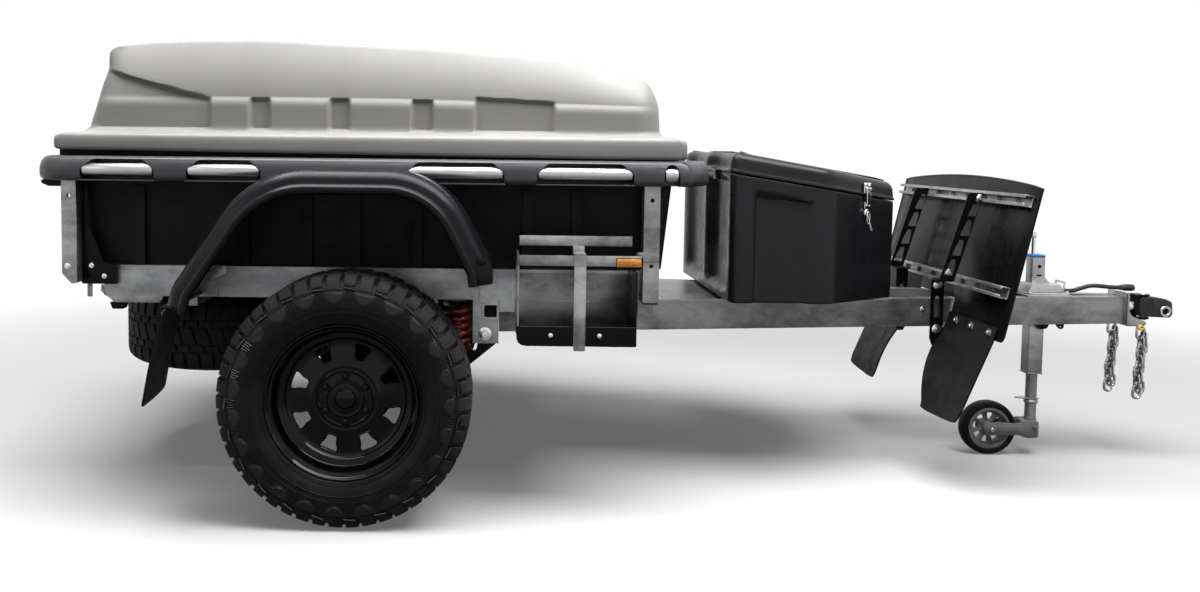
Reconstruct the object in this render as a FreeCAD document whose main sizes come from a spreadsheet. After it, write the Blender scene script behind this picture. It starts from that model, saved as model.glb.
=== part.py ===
# Off-road box trailer, as it parks on its two wheels and its jockey wheel.
# Millimetres. +X points to the coupling, +Y to the left side, +Z up. The origin is on the ground
# under the middle of the whole trailer. Right-hand pieces are built at -Y and mirrored to the left.
import FreeCAD, Part
import Sketcher
import math
import os

Vector = FreeCAD.Vector
doc = FreeCAD.newDocument("BoxTrailer")

# ---------------------------------------------------------------- driving dimensions
# name, value, what it is
SIZES = [
    ("axle_x", -989, "wheel axis, along the trailer"),
    ("tyre_r", 382, "rolling radius of the 265/65R17 tyre"),
    ("tyre_out", 909, "outer sidewall from the centre plane"),
    ("tyre_wide", 265, "section width"),
    ("bead_r", 216, "17 inch bead seat radius"),
    ("rim_flange_r", 233, "rim flange radius"),
    ("rim_wide", 221, "8 inch rim over its flanges"),
    ("disc_in", 70, "wheel disc behind the outer flange"),
    ("stub_r", 20, "stub axle radius"),
    ("run_gap", 0.05, "radial running clearance of a shaft in its bore"),
    ("rail_rear", -1810, "side rail, rear end"),
    ("rail_front", -29, "side rail, front end"),
    ("rail_low", 650, "side rail, lower face"),
    ("rail_high", 750, "side rail, upper face"),
    ("rail_out", 573, "side rail, outer face"),
    ("rail_thick", 50, "side rail section width"),
    ("steel", 4, "wall of a hollow section"),
    ("arm_rear", -526, "drawbar arm, rear end"),
    ("arm_front", 1811, "drawbar arm, front end"),
    ("arm_low", 512, "drawbar arm, lower face"),
    ("arm_high", 612, "drawbar arm, upper face"),
    ("arm_nose", 50, "drawbar arm, outer face at its front end"),
    ("arm_splay", 0.14, "drawbar arm, spread for each millimetre towards the rear"),
    ("post_out", 640, "corner post, outer face"),
    ("post_thick", 50, "corner post section"),
    ("rim_rear", -2000, "tub rim, rearmost"),
    ("rim_front", 68, "tub rim, front edge at its widest"),
    ("rim_nose", 145, "tub rim, front edge past its chamfers"),
    ("rim_nose_y", 560, "tub rim, half width at the front edge"),
    ("rim_out", 690, "tub rim, half width"),
    ("rim_in", 600, "tub rim, inner face of its side"),
    ("rim_low", 1026, "tub rim, lower edge"),
    ("rim_high", 1104, "tub rim, top"),
    ("rim_skin", 12, "tub rim, skin over the hand holds"),
    ("tub_half", 560, "tub, half width outside"),
    ("tub_floor", 750, "tub, underside"),
    ("tub_rear_top", -1923, "tub, rear wall at the rim"),
    ("tub_rear_low", -1886, "tub, rear wall at the floor"),
    ("tub_front_top", 40, "tub, front wall at the rim"),
    ("tub_front_low", 5, "tub, front wall at the floor"),
    ("tub_wall", 7, "tub wall"),
    ("grab_r", 21.5, "grab tube radius"),
    ("grab_y", 668, "grab tube axis from the centre plane"),
    ("grab_z", 1062, "grab tube axis height"),
    ("lid_rear", -1951, "lid skirt, rear"),
    ("lid_front", 64, "lid skirt, front"),
    ("lid_half", 640, "lid skirt, half width"),
    ("lid_low_rear", 1124, "lid skirt, lower edge at the rear"),
    ("lid_low_front", 1107, "lid skirt, lower edge at the front"),
    ("lid_wall", 8, "lid shell"),
    ("lid_pivot_x", 74, "lid hinge axis"),
    ("lid_pivot_z", 1113, "lid hinge axis height"),
    ("fender_in", 580, "mudguard, inner edge"),
    ("fender_out", 900, "mudguard, outer lip"),
    ("fender_skin", 6, "mudguard sheet"),
    ("fender_lip", 42, "mudguard, depth of the outer lip"),
    ("box_rear", 247, "toolbox, rear face"),
    ("box_knee", 582, "toolbox, where its sides start to taper"),
    ("box_front", 863, "toolbox, front face"),
    ("box_half", 444, "toolbox, half width"),
    ("box_nose_half", 250, "toolbox, half width at the front"),
    ("box_low", 628, "toolbox, underside"),
    ("box_seam_rear", 1067, "toolbox, lid seam at the rear"),
    ("box_seam_front", 969, "toolbox, lid seam at the front"),
    ("box_top_rear", 1139, "toolbox, lid top at the rear"),
    ("box_top_front", 1033, "toolbox, lid top at the front"),
    ("box_wall", 8, "toolbox wall"),
    ("guard_low_x", 1108, "stone guard, lower edge"),
    ("guard_low_z", 524, "stone guard, lower edge height"),
    ("guard_high_x", 1219, "stone guard, upper corner"),
    ("guard_high_z", 1031, "stone guard, upper corner height"),
    ("guard_half", 550, "stone guard, half width"),
    ("guard_crown", 28, "stone guard, rise of its arched top"),
    ("guard_thick", 8, "stone guard plate"),
    ("jockey_x", 1500, "jockey post axis"),
    ("jockey_wheel_x", 1338, "jockey wheel axis"),
    ("jockey_wheel_r", 102, "jockey wheel radius"),
    ("jockey_wheel_wide", 50, "jockey wheel width"),
    ("coupling_z", 571, "coupling axis height"),
    ("coupling_yaw_x", 1907, "upright coupling pin"),
    ("coupling_nose", 2000, "coupling block, front face"),
    ("coupling_half", 36, "coupling block, half width"),
    ("coupling_tall", 77, "coupling block height"),
    ("tow_bore_r", 11.2, "tow pin bore radius"),
    ("tow_bore_x", 1969, "tow pin bore, along the trailer"),
    ("tow_bore_z", 557, "tow pin bore height"),
    ("spare_x", -1532, "spare wheel centre"),
    ("spare_z", 482, "spare wheel mid height"),
]
sheet = doc.addObject("Spreadsheet::Sheet", "Sizes")
for row, (alias, value, meaning) in enumerate(SIZES, start=1):
    sheet.set(f"A{row}", meaning)
    sheet.set(f"B{row}", str(value))
    sheet.setAlias(f"B{row}", alias)
doc.recompute()


class Values:
    """The sheet's numbers, read back for outlines that are drawn in code."""


size = Values()
for alias, value, meaning in SIZES:
    setattr(size, alias, float(sheet.get(alias)))

NODES = []


# ---------------------------------------------------------------- building helpers
def sized(text):
    """Expression text with each alias named on the sheet."""
    words = []
    word = ""
    for letter in str(text) + " ":
        if letter.isalnum() or letter in "_.":
            word += letter
            continue
        words.append("Sizes." + word if hasattr(size, word) else word)
        words.append(letter)
        word = ""
    return "".join(words).strip()


def bind(piece, **sizes):
    for prop, text in sizes.items():
        piece.setExpression(prop, sized(text))


def put(piece, x, y, z):
    bind(piece, **{"Placement.Base.x": x, "Placement.Base.y": y, "Placement.Base.z": z})


def box(label, x, y, z):
    """A block between the two expressions given for each axis."""
    piece = doc.addObject("Part::Box", label)
    bind(piece, Length=f"({x[1]}) - ({x[0]})", Width=f"({y[1]}) - ({y[0]})", Height=f"({z[1]}) - ({z[0]})")
    put(piece, x[0], y[0], z[0])
    return piece


def rod(label, axis, radius, length, at):
    """A round bar from a point along X, Y or Z."""
    piece = doc.addObject("Part::Cylinder", label)
    bind(piece, Radius=radius, Height=length)
    piece.Placement.Rotation = FreeCAD.Rotation(Vector(0, 0, 1), axis)
    put(piece, *at)
    return piece


def fuse(label, pieces):
    whole = doc.addObject("Part::MultiFuse", label)
    whole.Shapes = pieces
    whole.Refine = True
    return whole


def cut(label, base, tools):
    tool = tools
    if isinstance(tools, list):
        tool = tools[0] if len(tools) == 1 else fuse(label + "_tools", tools)
    whole = doc.addObject("Part::Cut", label)
    whole.Base = base
    whole.Tool = tool
    return whole


def common(label, pieces):
    whole = doc.addObject("Part::MultiCommon", label)
    whole.Shapes = pieces
    return whole


def group(label, pieces):
    whole = doc.addObject("Part::Compound", label)
    whole.Links = pieces
    return whole


def corner_wire(points):
    """A closed outline of (u, v, corner radius): straight sides and tangent arcs."""
    count = len(points)
    edges = []
    start_of, end_of, arcs = [], [], []
    for i in range(count):
        here = Vector(points[i][0], points[i][1], 0)
        before = Vector(points[i - 1][0], points[i - 1][1], 0) - here
        after = Vector(points[(i + 1) % count][0], points[(i + 1) % count][1], 0) - here
        radius = points[i][2] if len(points[i]) > 2 else 0
        turn = math.pi - before.getAngle(after)
        reach = radius * math.tan(turn / 2)
        before.normalize()
        after.normalize()
        start_of.append(here + before * reach)
        end_of.append(here + after * reach)
        arcs.append(None)
        if radius > 0 and turn > 1e-4:
            middle = (before + after).normalize()
            centre_far = radius / math.cos(turn / 2)
            arcs[i] = here + middle * (centre_far - radius)
    for i in range(count):
        if arcs[i] is not None:
            edges.append(Part.Arc(start_of[i], arcs[i], end_of[i]))
        follow = start_of[(i + 1) % count]
        if end_of[i].distanceToPoint(follow) > 1e-3:
            edges.append(Part.LineSegment(end_of[i], follow))
    return edges


TURNS = {
    "X": FreeCAD.Rotation(Vector(1, 1, 1), 120),
    "Y": FreeCAD.Rotation(Vector(1, 0, 0), 90),
    "Z": FreeCAD.Rotation(),
}
AXES = {"X": Vector(1, 0, 0), "Y": Vector(0, 1, 0), "Z": Vector(0, 0, 1)}


def sketch(label, normal, outlines, at=0):
    """Closed outlines on the plane with that normal: (y, z) for X, (x, z) for Y, (x, y) for Z."""
    drawing = doc.addObject("Sketcher::SketchObject", label)
    for points in outlines:
        drawing.addGeometry(corner_wire(points), False)
    drawing.Placement = FreeCAD.Placement(AXES[normal] * at, TURNS[normal])
    return drawing


def slab(label, normal, outlines, low, high):
    """Outlines made solid between two distances along their normal."""
    piece = doc.addObject("Part::Extrusion", label)
    piece.Base = sketch(label + "_outline", normal, outlines, low)
    piece.DirMode = "Custom"
    piece.Dir = AXES[normal]
    piece.LengthFwd = high - low
    piece.Solid = True
    return piece


def loft(label, sections):
    piece = doc.addObject("Part::Loft", label)
    piece.Sections = sections
    piece.Solid = True
    piece.Ruled = True
    return piece


def spun(label, points, at, axis=AXES["Y"]):
    """A ring turned about an axis: points are (radius, distance along the axis)."""
    piece = doc.addObject("Part::Feature", label)
    corners = [Vector(radius, 0, along) for radius, along in points]
    face = Part.Face(Part.makePolygon(corners + corners[:1]))
    turned = face.revolve(Vector(0, 0, 0), Vector(0, 0, 1), 360)
    piece.Shape = turned
    piece.Placement = FreeCAD.Placement(at, FreeCAD.Rotation(Vector(0, 0, 1), axis))
    return piece


def node(piece, label=None):
    if label:
        piece.Label = label
    NODES.append(piece)
    return piece


def pair(name, piece):
    """Keep a right-hand piece and its mirror image on the left."""
    twin = doc.addObject("Part::Mirroring", name + "_left")
    twin.Source = piece
    twin.Normal = AXES["Y"]
    node(piece, name + "_right")
    node(twin, name + "_left")
    return piece


def plate_outline(rear, front, half, corner):
    """A rounded rectangle in plan."""
    return [(rear, -half, corner), (front, -half, corner), (front, half, corner), (rear, half, corner)]


def band(points, depth):
    """An open run of corners thickened to one side by a depth, as one closed outline."""
    inner = []
    count = len(points)
    for i, (u, v, radius) in enumerate(points):
        normals = []
        for a, b in ((i - 1, i), (i, i + 1)):
            if a < 0 or b >= count:
                continue
            run = Vector(points[b][0] - points[a][0], points[b][1] - points[a][1], 0).normalize()
            normals.append(Vector(run.y, -run.x, 0))
        middle = (normals[0] + normals[-1]).normalize()
        reach = depth / middle.dot(normals[0])
        inner.append((u + middle.x * reach, v + middle.y * reach, max(radius - depth, 0)))
    return list(points) + inner[::-1]


# ---------------------------------------------------------------- chassis
def side_rails():
    outer = box("rail_block", ("rail_rear", "rail_front"), ("-rail_out", "rail_thick - rail_out"),
                ("rail_low", "rail_high"))
    inner = box("rail_hollow", ("rail_rear - 1", "rail_front + 1"),
                ("steel - rail_out", "rail_thick - rail_out - steel"), ("rail_low + steel", "rail_high - steel"))
    pair("side_rail", cut("side_rail", outer, inner))


def cross_beams():
    """Upper beams carry the tub floor between the rails; lower ones join the rails to the drawbar arms."""
    beams = []
    deep_ends = (size.rail_rear, size.rail_front - 50)
    for x in (size.rail_rear, -1445, -1080, -715, -350, size.rail_front - 50):
        low = "rail_low" if x in deep_ends else "rail_high - 50"
        beams.append(box("floor_beam", (x, x + 50), ("rail_thick - rail_out", "rail_out - rail_thick"),
                         (low, "rail_high")))
    for x in (size.arm_rear, -324, size.rail_front - 50):
        beams.append(box("arm_beam", (x, x + 50), ("-rail_out", "rail_out"), ("arm_high", "rail_low")))
    node(group("cross_beams", beams))


def arm_edge(x):
    """Outer face of the drawbar arm at a place along it."""
    return size.arm_nose + size.arm_splay * (size.arm_front - x)


def drawbar_arms():
    skew = 1 / math.cos(math.atan(size.arm_splay))
    wide = 50 * skew
    wall = size.steel * skew
    meet = size.arm_front - (wide - size.arm_nose) / size.arm_splay
    outer = slab("arm_block", "Z", [[
        (size.arm_rear, -arm_edge(size.arm_rear)), (size.arm_front, -size.arm_nose), (size.arm_front, 0),
        (meet, 0), (size.arm_rear, wide - arm_edge(size.arm_rear))]], size.arm_low, size.arm_high)
    start, end = size.arm_rear - 1, size.arm_front - 20
    inner = slab("arm_hollow", "Z", [[
        (start, wall - arm_edge(start)), (end, wall - arm_edge(end)),
        (end, wide - wall - arm_edge(end)), (start, wide - wall - arm_edge(start))]],
        size.arm_low + size.steel, size.arm_high - size.steel)
    pair("drawbar_arm", cut("drawbar_arm", outer, inner))


def drawbar_deck():
    """The plate over the arms and the bearers under the toolbox."""
    rear, front = size.rail_front + 8, 880
    plate = slab("deck_plate", "Z", [[
        (rear, -arm_edge(rear)), (front, -arm_edge(front)), (front, arm_edge(front)), (rear, arm_edge(rear))]],
        size.arm_high, size.arm_high + 6)
    pieces = [plate]
    for x in (275, 545, 800):
        pieces.append(box("bearer", (x, x + 50), ("-250", "250"), ("arm_high + 6", "box_low")))
    node(fuse("drawbar_deck", pieces))


def corner_posts():
    rear = fuse("rear_post", [
        box("rear_post_bar", ("-1919", "-1871"), ("-post_out", "post_thick - post_out"), ("708", "rim_low")),
        box("rear_post_foot", ("-1919", "-1700"), ("post_thick - post_out", "-rail_out"), ("rail_low + 20", "745")),
        slab("rear_gusset", "Y", [[(-1871, 878), (-1871, 690), (-1762, 690)]], -597, -590)])
    pair("rear_post", rear)
    front = fuse("front_post", [
        box("front_post_bar", ("-74", "-23"), ("-post_out", "post_thick - post_out"), ("655", "rim_low")),
        box("front_post_foot", ("-74", "rail_front"), ("post_thick - post_out", "-rail_out"), ("655", "745"))])
    holes = [rod("post_hole", AXES["Y"], 7, 80, (-48, "-post_out - 10", z)) for z in (720, 960)]
    pair("front_post", cut("front_post_drilled", front, holes))


# ---------------------------------------------------------------- tub and its rim
def tub():
    def shell(label, inset):
        low = [plate_outline(size.tub_rear_low + inset, size.tub_front_low - inset, 545 - inset, 50 - inset)]
        high = [plate_outline(size.tub_rear_top + inset, size.tub_front_top - inset, size.tub_half - inset,
                              50 - inset)]
        floor = size.tub_floor + inset
        return loft(label, [sketch(label + "_low", "Z", low, floor), sketch(label + "_high", "Z", high, size.rim_high)])

    flange = slab("tub_flange", "Z", [plate_outline(-1925, 60, size.rim_in, 100)], size.rim_high - 14, size.rim_high)
    coaming = slab("tub_coaming", "Z", [plate_outline(-1925, 38, 575, 60)], size.rim_high, size.rim_high + 24)
    throat = slab("tub_throat", "Z", [plate_outline(size.tub_rear_top + 7, size.tub_front_top - 7, 553, 43)],
                  size.rim_high - 1, size.rim_high + 30)
    ribs = []
    for x in (-1694, -1355, -1152, -994, -794, -439, -280):
        for side in (-1, 1):
            y = ("-566", "-540") if side < 0 else ("540", "566")
            ribs.append(box("tub_rib", (x - 16, x + 16), y, ("tub_floor + 4", "rim_low - 20")))
    outer = fuse("tub_outer", [shell("tub_form", 0), flange, coaming] + ribs)
    node(cut("tub", outer, [shell("tub_hollow", size.tub_wall), throat]))


GRABS = [(-1834, -1613), (-1503, -1280), (-818, -521), (-410, -118), (-15, 25)]


def rim():
    outline = [(size.rim_rear, -size.rim_out, 110), (size.rim_front, -size.rim_out, 30),
               (size.rim_nose, -size.rim_nose_y, 30), (size.rim_nose, size.rim_nose_y, 30),
               (size.rim_front, size.rim_out, 30), (size.rim_rear, size.rim_out, 110)]
    hollow = plate_outline(-1925, 60, size.rim_in, 100)
    notches = []
    for rear, front in GRABS:
        for y in (("-rim_out - 5", "-615"), ("615", "rim_out + 5")):
            notches.append(box("hand_hold", (rear, front), y, ("rim_low - 1", "rim_high - rim_skin")))
    ring = slab("rim_ring", "Z", [outline, hollow], size.rim_low, size.rim_high)
    out, low, high = size.rim_out, size.rim_low, size.rim_high
    rounding = []
    for way in (-1, 1):
        rounding.append(slab("rim_side_rounding", "X", [[
            (way * (out + 1), high - 40), (way * out, high - 40), (way * (out - 12), high - 14),
            (way * (out - 34), high), (way * (out - 34), high + 1), (way * (out + 1), high + 1)]],
            size.rim_rear - 1, size.rim_nose + 1))
        rounding.append(slab("rim_side_under", "X", [[
            (way * (out + 1), low - 1), (way * (out - 14), low - 1), (way * (out - 14), low),
            (way * out, low + 16), (way * (out + 1), low + 16)]], size.rim_rear - 1, size.rim_nose + 1))
    rear = size.rim_rear
    rounding.append(slab("rim_rear_rounding", "Y", [[
        (rear - 1, high - 40), (rear, high - 40), (rear + 12, high - 14), (rear + 34, high), (rear + 34, high + 1),
        (rear - 1, high + 1)], [
        (rear - 1, low - 1), (rear + 14, low - 1), (rear + 14, low), (rear, low + 16), (rear - 1, low + 16)]],
        -out - 1, out + 1))
    whole = cut("rim_whole", ring, notches + rounding)
    length = ("rim_rear - 5", "rim_nose + 5")
    height = ("rim_low - 5", "rim_high + 5")
    side_zone = box("rim_side_zone", length, ("-rim_out - 5", "-480"), height)
    pair("rim_side", common("rim_side", [whole, side_zone]))
    rear_zone = box("rim_rear_zone", ("rim_rear - 5", "-1000"), ("-480", "480"), height)
    node(common("rim_rear_bar", [whole, rear_zone]), "rim_rear")
    front_zone = box("rim_front_zone", ("-1000", "rim_nose + 5"), ("-480", "480"), height)
    node(common("rim_front_bar", [whole, front_zone]), "rim_front")
    tubes = []
    for rear, front in GRABS:
        for y in ("-grab_y", "grab_y"):
            tubes.append(rod("grab_tube", AXES["X"], "grab_r", front - rear, (rear, y, "grab_z")))
    node(group("grab_tubes", tubes))


# ---------------------------------------------------------------- lid
# x, half width of the upright side, its height, half width of the top's edge, top height
LID_SECTIONS = [
    (-1890, 590, 1284, 496, 1478),
    (-1542, 593, 1284, 498, 1494),
    (-1300, 594, 1284, 500, 1498),
    (-1031, 594, 1284, 500, 1489),
    (-743, 593, 1281, 499, 1476),
    (-455, 590, 1275, 496, 1453),
    (-262, 587, 1271, 494, 1427),
    (-60, 578, 1266, 488, 1372),
    (10, 572, 1266, 484, 1350),
]
# rear, front, low, high: recesses moulded into the lid's sides
LID_RECESSES = [(-610, -358, 1178, 1298), (-1330, -1267, 1186, 1291), (-1075, -1012, 1186, 1291),
                (-812, -746, 1186, 1291)]
LID_EDGE_DROP = 9
RECESS_FACE = 571
QUARTER_DEEP = 18


def lid_loft(label, inset):
    """Upright sides up to a soft break, then slopes up to a slightly crowned top."""
    sections = []
    for i, (x, base, side_z, shoulder, top) in enumerate(LID_SECTIONS):
        slope = math.atan2(top - LID_EDGE_DROP - side_z, base - shoulder)
        low_half, low_z = base - inset, side_z - inset * math.tan((math.pi / 2 - slope) / 2)
        edge_half, edge_z = shoulder - inset * math.tan(slope / 2), top - LID_EDGE_DROP - inset
        profile = [(-low_half, 1150), (-low_half, low_z, 15), (-edge_half, edge_z, 40), (0, top - inset, 4000),
                   (edge_half, edge_z, 40), (low_half, low_z, 15), (low_half, 1150)]
        sections.append(sketch(f"{label}_section_{i}", "X", [profile], x))
    return loft(label, sections)


def lid_form(label, inset):
    """The lid's outside, or its hollow when inset by the shell."""
    side = slab(label + "_side", "Y", [[
        (-1872 + inset, 1140), (-1846 + inset, 1267), (-1811 + inset, 1380, 20), (-1800 + inset, 1460 - inset, 30),
        (-1700, 1520), (-110 - inset, 1520), (-95 - inset, 1400), (-48 - inset, 1352 - inset, 40),
        (-15 - inset, 1285 - inset, 70), (-9 - inset, 1140)]],
        -700, 700)
    plan = slab(label + "_plan", "Z", [plate_outline(-1875 + inset, -8 - inset, 596 - inset, 100 - inset)],
                1100, 1520)
    dome = common(label + "_dome", [lid_loft(label + "_body", inset), side, plan])
    cuts = []
    face = RECESS_FACE - inset
    for rear, front, low, high in LID_RECESSES:
        for y in (("-700", -face), (face, "700")):
            cuts.append(box(label + "_recess", (rear - inset, front + inset), y, (low - inset, high + inset)))
    quarter = slab(label + "_quarter", "Y", [[
        (-1900, 1190 - inset), (-1456 + inset, 1190 - inset), (-1464 + inset, 1298 + inset, 20),
        (-1790, 1386 + inset, 20), (-1900, 1386 + inset)]], -700, 700)
    cuts.append(cut(label + "_quarter_relief", quarter, [lid_loft(label + "_core", inset + QUARTER_DEEP)]))
    return cut(label + "_relieved", dome, cuts)


def lid_skirt(label, inset):
    drop = 30 if inset else 0
    side = slab(label + "_side", "Y", [[
        (size.lid_rear + inset, size.lid_low_rear - drop), (size.lid_front - inset, size.lid_low_front - drop),
        (size.lid_front - inset, 1160 - inset, 12), (-30, 1186 - inset), (-1850, 1180 - inset),
        (size.lid_rear + inset, 1168 - inset, 12)]], -700, 700)
    plan = slab(label + "_plan", "Z", [plate_outline(size.lid_rear + inset, size.lid_front - inset,
                                                     size.lid_half - inset, 38 - inset)], 1000, 1300)
    return common(label, [side, plan])


HINGE_Y = (-350, 350)


def lid():
    shell = size.lid_wall
    outer = [lid_form("lid_form", 0), lid_skirt("lid_skirt", 0)]
    inner = [lid_form("lid_hollow", shell), lid_skirt("lid_skirt_hollow", shell)]
    dome = cut("lid_shell", fuse("lid_outer", outer), inner)
    knuckles = []
    bores = []
    for y in HINGE_Y:
        knuckles.append(rod("lid_knuckle", AXES["Y"], 6, 28, ("lid_pivot_x", y - 14, "lid_pivot_z")))
        knuckles.append(box("lid_lug", ("lid_front - 3", "lid_pivot_x"), (y - 14, y + 14),
                            ("lid_pivot_z - 3", "lid_pivot_z + 3")))
        bores.append(rod("lid_knuckle_bore", AXES["Y"], "3 + run_gap", 40, ("lid_pivot_x", y - 20, "lid_pivot_z")))
    node(cut("lid", fuse("lid_with_lugs", [dome] + knuckles), bores))
    hinges = []
    for y in HINGE_Y:
        leaf = box("hinge_leaf", ("lid_pivot_x - 5", "lid_pivot_x + 20"), (y - 40, y + 40),
                   ("rim_high", "lid_pivot_z - 6.5"))
        parts = [leaf, rod("hinge_pin", AXES["Y"], 3, 80, ("lid_pivot_x", y - 40, "lid_pivot_z"))]
        for start in (y - 40, y + 15):
            parts.append(rod("hinge_knuckle", AXES["Y"], 6, 25, ("lid_pivot_x", start, "lid_pivot_z")))
            parts.append(box("hinge_foot", ("lid_pivot_x - 4", "lid_pivot_x + 4"), (start, start + 25),
                             ("rim_high", "lid_pivot_z - 3")))
        hinges.append(fuse("hinge", parts))
    node(group("lid_hinges", hinges))


# ---------------------------------------------------------------- mudguards
# corners of the mudguard's outer edge from its rear foot over the wheel to its front foot
GUARD_ARC = [(-1522, 660, 0), (-1504, 722, 100), (-1269, 1073, 320), (-700, 1073, 270), (-553, 790, 60),
             (-547, 741, 0)]


def mudguards():
    skin = slab("guard_skin", "Y", [band(GUARD_ARC, size.fender_skin)], -size.fender_out + 18, -size.fender_in)
    lip = slab("guard_lip", "Y", [band(GUARD_ARC, 2 * size.fender_lip - 10)], -size.fender_out + 12,
               -size.fender_out + 22)
    bead = slab("guard_bead", "Y", [band([(u, v, r) for u, v, r in band_core()], 30)], -size.fender_out,
                -size.fender_out + 14)
    front_stay = box("front_stay", ("-592", "-552"), ("-fender_out + 14", "-rail_out"), ("741", "749"))
    rear_stay = box("rear_stay", ("-1528", "-1492"), ("-fender_out + 14", "-rail_out"), ("656", "666"))
    under_rim = box("rim_clearance", ("-1400", "-600"), ("-rim_out", "-500"), ("rim_low", "rim_high"))
    pair("mudguard", cut("mudguard", fuse("mudguard_whole", [skin, lip, bead, front_stay, rear_stay]), under_rim))


def band_core():
    """The mudguard's edge moved in, where its bead runs."""
    closed = band(GUARD_ARC, 44)
    return closed[len(GUARD_ARC):][::-1]


def mudflaps():
    flap = slab("mudflap", "Y", [[(-1515, 656), (-1509, 656), (-1574, 368), (-1580, 368)]], -905, -700)
    pair("mudflap", flap)


# ---------------------------------------------------------------- can carriers and lamps
def can_carriers():
    wall = 5
    rear, front = -474, -108
    pieces = [
        box("tray_floor", (rear, front), ("-768", "-rail_out"), ("538", 538 + wall)),
        box("tray_outer", (rear, front), ("-768", f"{wall} - 768"), ("538", "599")),
        box("tray_back", (rear, front), (f"-rail_out - {wall}", "-rail_out"), ("538", "740")),
        box("tray_rear", (rear, rear + wall), ("-768", "-rail_out"), ("538", "599")),
        box("tray_front", (front - wall, front), ("-768", "-rail_out"), ("538", "767")),
        box("strap", (-301, -265), ("-774", "-768"), ("525", "817")),
        box("lower_bar", (-472, -91), ("-768", "-762"), ("785", "817")),
        box("lower_bar_rear", (-474, -468), ("-768", "-rail_out"), ("785", "817")),
        box("lower_bar_front", (-97, -91), ("-768", "-post_out"), ("785", "817")),
        box("post_tab", (-97, -24), ("-post_out - 6", "-post_out"), ("785", "817")),
        box("rear_edge", (-474, -468), ("-768", "-728"), ("599", "785")),
        box("rear_hanger", (-474, -468), ("-rail_out - 40", "-rail_out"), ("740", "785")),
        box("upper_bar", (-467, -118), ("-706", "-700"), ("841", "872")),
        box("upper_link", (-301, -265), ("-768", "-700"), ("817", "823")),
        box("upper_stem", (-301, -265), ("-706", "-700"), ("817", "841")),
    ]
    pair("can_carrier", fuse("can_carrier", pieces))


def lamps():
    pieces = []
    for low, high in (("-774", "-768"), ("768", "774")):
        pieces.append(box("side_marker", (-172, -98), (low, high), ("784", "808")))
    for low, high in (("-520", "-400"), ("400", "520")):
        pieces.append(box("tail_lamp", ("rail_rear - 22", "rail_rear"), (low, high), ("666", "734")))
    node(group("lamps", pieces))


# ---------------------------------------------------------------- suspension and wheels
PIVOT = (-572, 540)
SPRING_X = -664
SPRING_Y = 548


def suspension():
    tube = cut("tube_hollowed",
               box("tube_block", (-580, -530), ("-575", "575"), ("588", "638")),
               box("tube_hollow", (-576, -534), ("-576", "576"), ("592", "634")))
    tube_space = box("tube_space", (-580, -530), ("-576", "576"), ("588", "638"))
    cheeks = []
    for side in (-1, 1):
        for near, far in ((523, 529), (567, 573)):
            y = sorted((side * near, side * far))
            cheeks.append(box("hanger_cheek", (-612, -528), (y[0], y[1]), ("508", "rail_low")))
        ends = sorted((side * 517, side * 582))
        cheeks.append(rod("pivot_bolt", AXES["Y"], 10, ends[1] - ends[0], (PIVOT[0], ends[0], PIVOT[1])))
    hangers = cut("hangers", fuse("hanger_blocks", cheeks), tube_space)
    node(fuse("suspension_mount", [tube, hangers]))

    beam = slab("arm_beam_plate", "Y", [[
        (-536, 506, 12), (-536, 574, 12), (-588, 574, 12), (-600, 478, 8), (-722, 478, 8), (-989, 425, 20),
        (-1034, 382, 20), (-989, 342, 20), (-640, 420, 30)]], -565, -531)
    axle = ("axle_x", "tyre_r")
    arm = fuse("trailing_arm_whole", [
        beam,
        rod("knuckle", -AXES["Y"], 38, 80, (axle[0], "-560", axle[1])),
        rod("back_plate", -AXES["Y"], 135, 10, (axle[0], "-640", axle[1])),
        rod("stub_axle", -AXES["Y"], "stub_r", 182, (axle[0], "-638", axle[1]))])
    pin_space = rod("pivot_bore", AXES["Y"], 10.05, 60, (PIVOT[0], "-580", PIVOT[1]))
    pair("trailing_arm", cut("trailing_arm", arm, pin_space))

    rings = [rod("damper", AXES["Z"], 30, 172, (SPRING_X, -SPRING_Y, 478)),
             rod("lower_seat", AXES["Z"], 49, 5, (SPRING_X, -SPRING_Y, 478)),
             rod("upper_seat", AXES["Z"], 49, 6, (SPRING_X, -SPRING_Y, 644))]
    for i in range(6):
        coil = doc.addObject("Part::Torus", "coil")
        bind(coil, Radius1="36", Radius2="9")
        put(coil, SPRING_X, -SPRING_Y, 495 + 27 * i)
        rings.append(coil)
    pair("spring", fuse("spring", rings))


# the tyre's section from one bead over the tread to the other: radius, distance from its middle plane
TYRE_OUTSIDE = [(216.2, 86), (216.2, 99.3), (233.4, 103.3), (240, 111), (262, 126.5), (300, 132.5), (335, 129),
                (364, 118), (377, 104), (382, 88)]
TYRE_INSIDE = [(362, 78), (356, 96), (335, 114), (300, 118), (262, 110), (236, 90)]


def tyre_section(middle):
    side = [(r, middle + y) for r, y in TYRE_OUTSIDE]
    other = [(r, middle - y) for r, y in reversed(TYRE_OUTSIDE)]
    back = [(r, middle - y) for r, y in reversed(TYRE_INSIDE)]
    front = [(r, middle + y) for r, y in TYRE_INSIDE]
    return side + other + back + front


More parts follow.
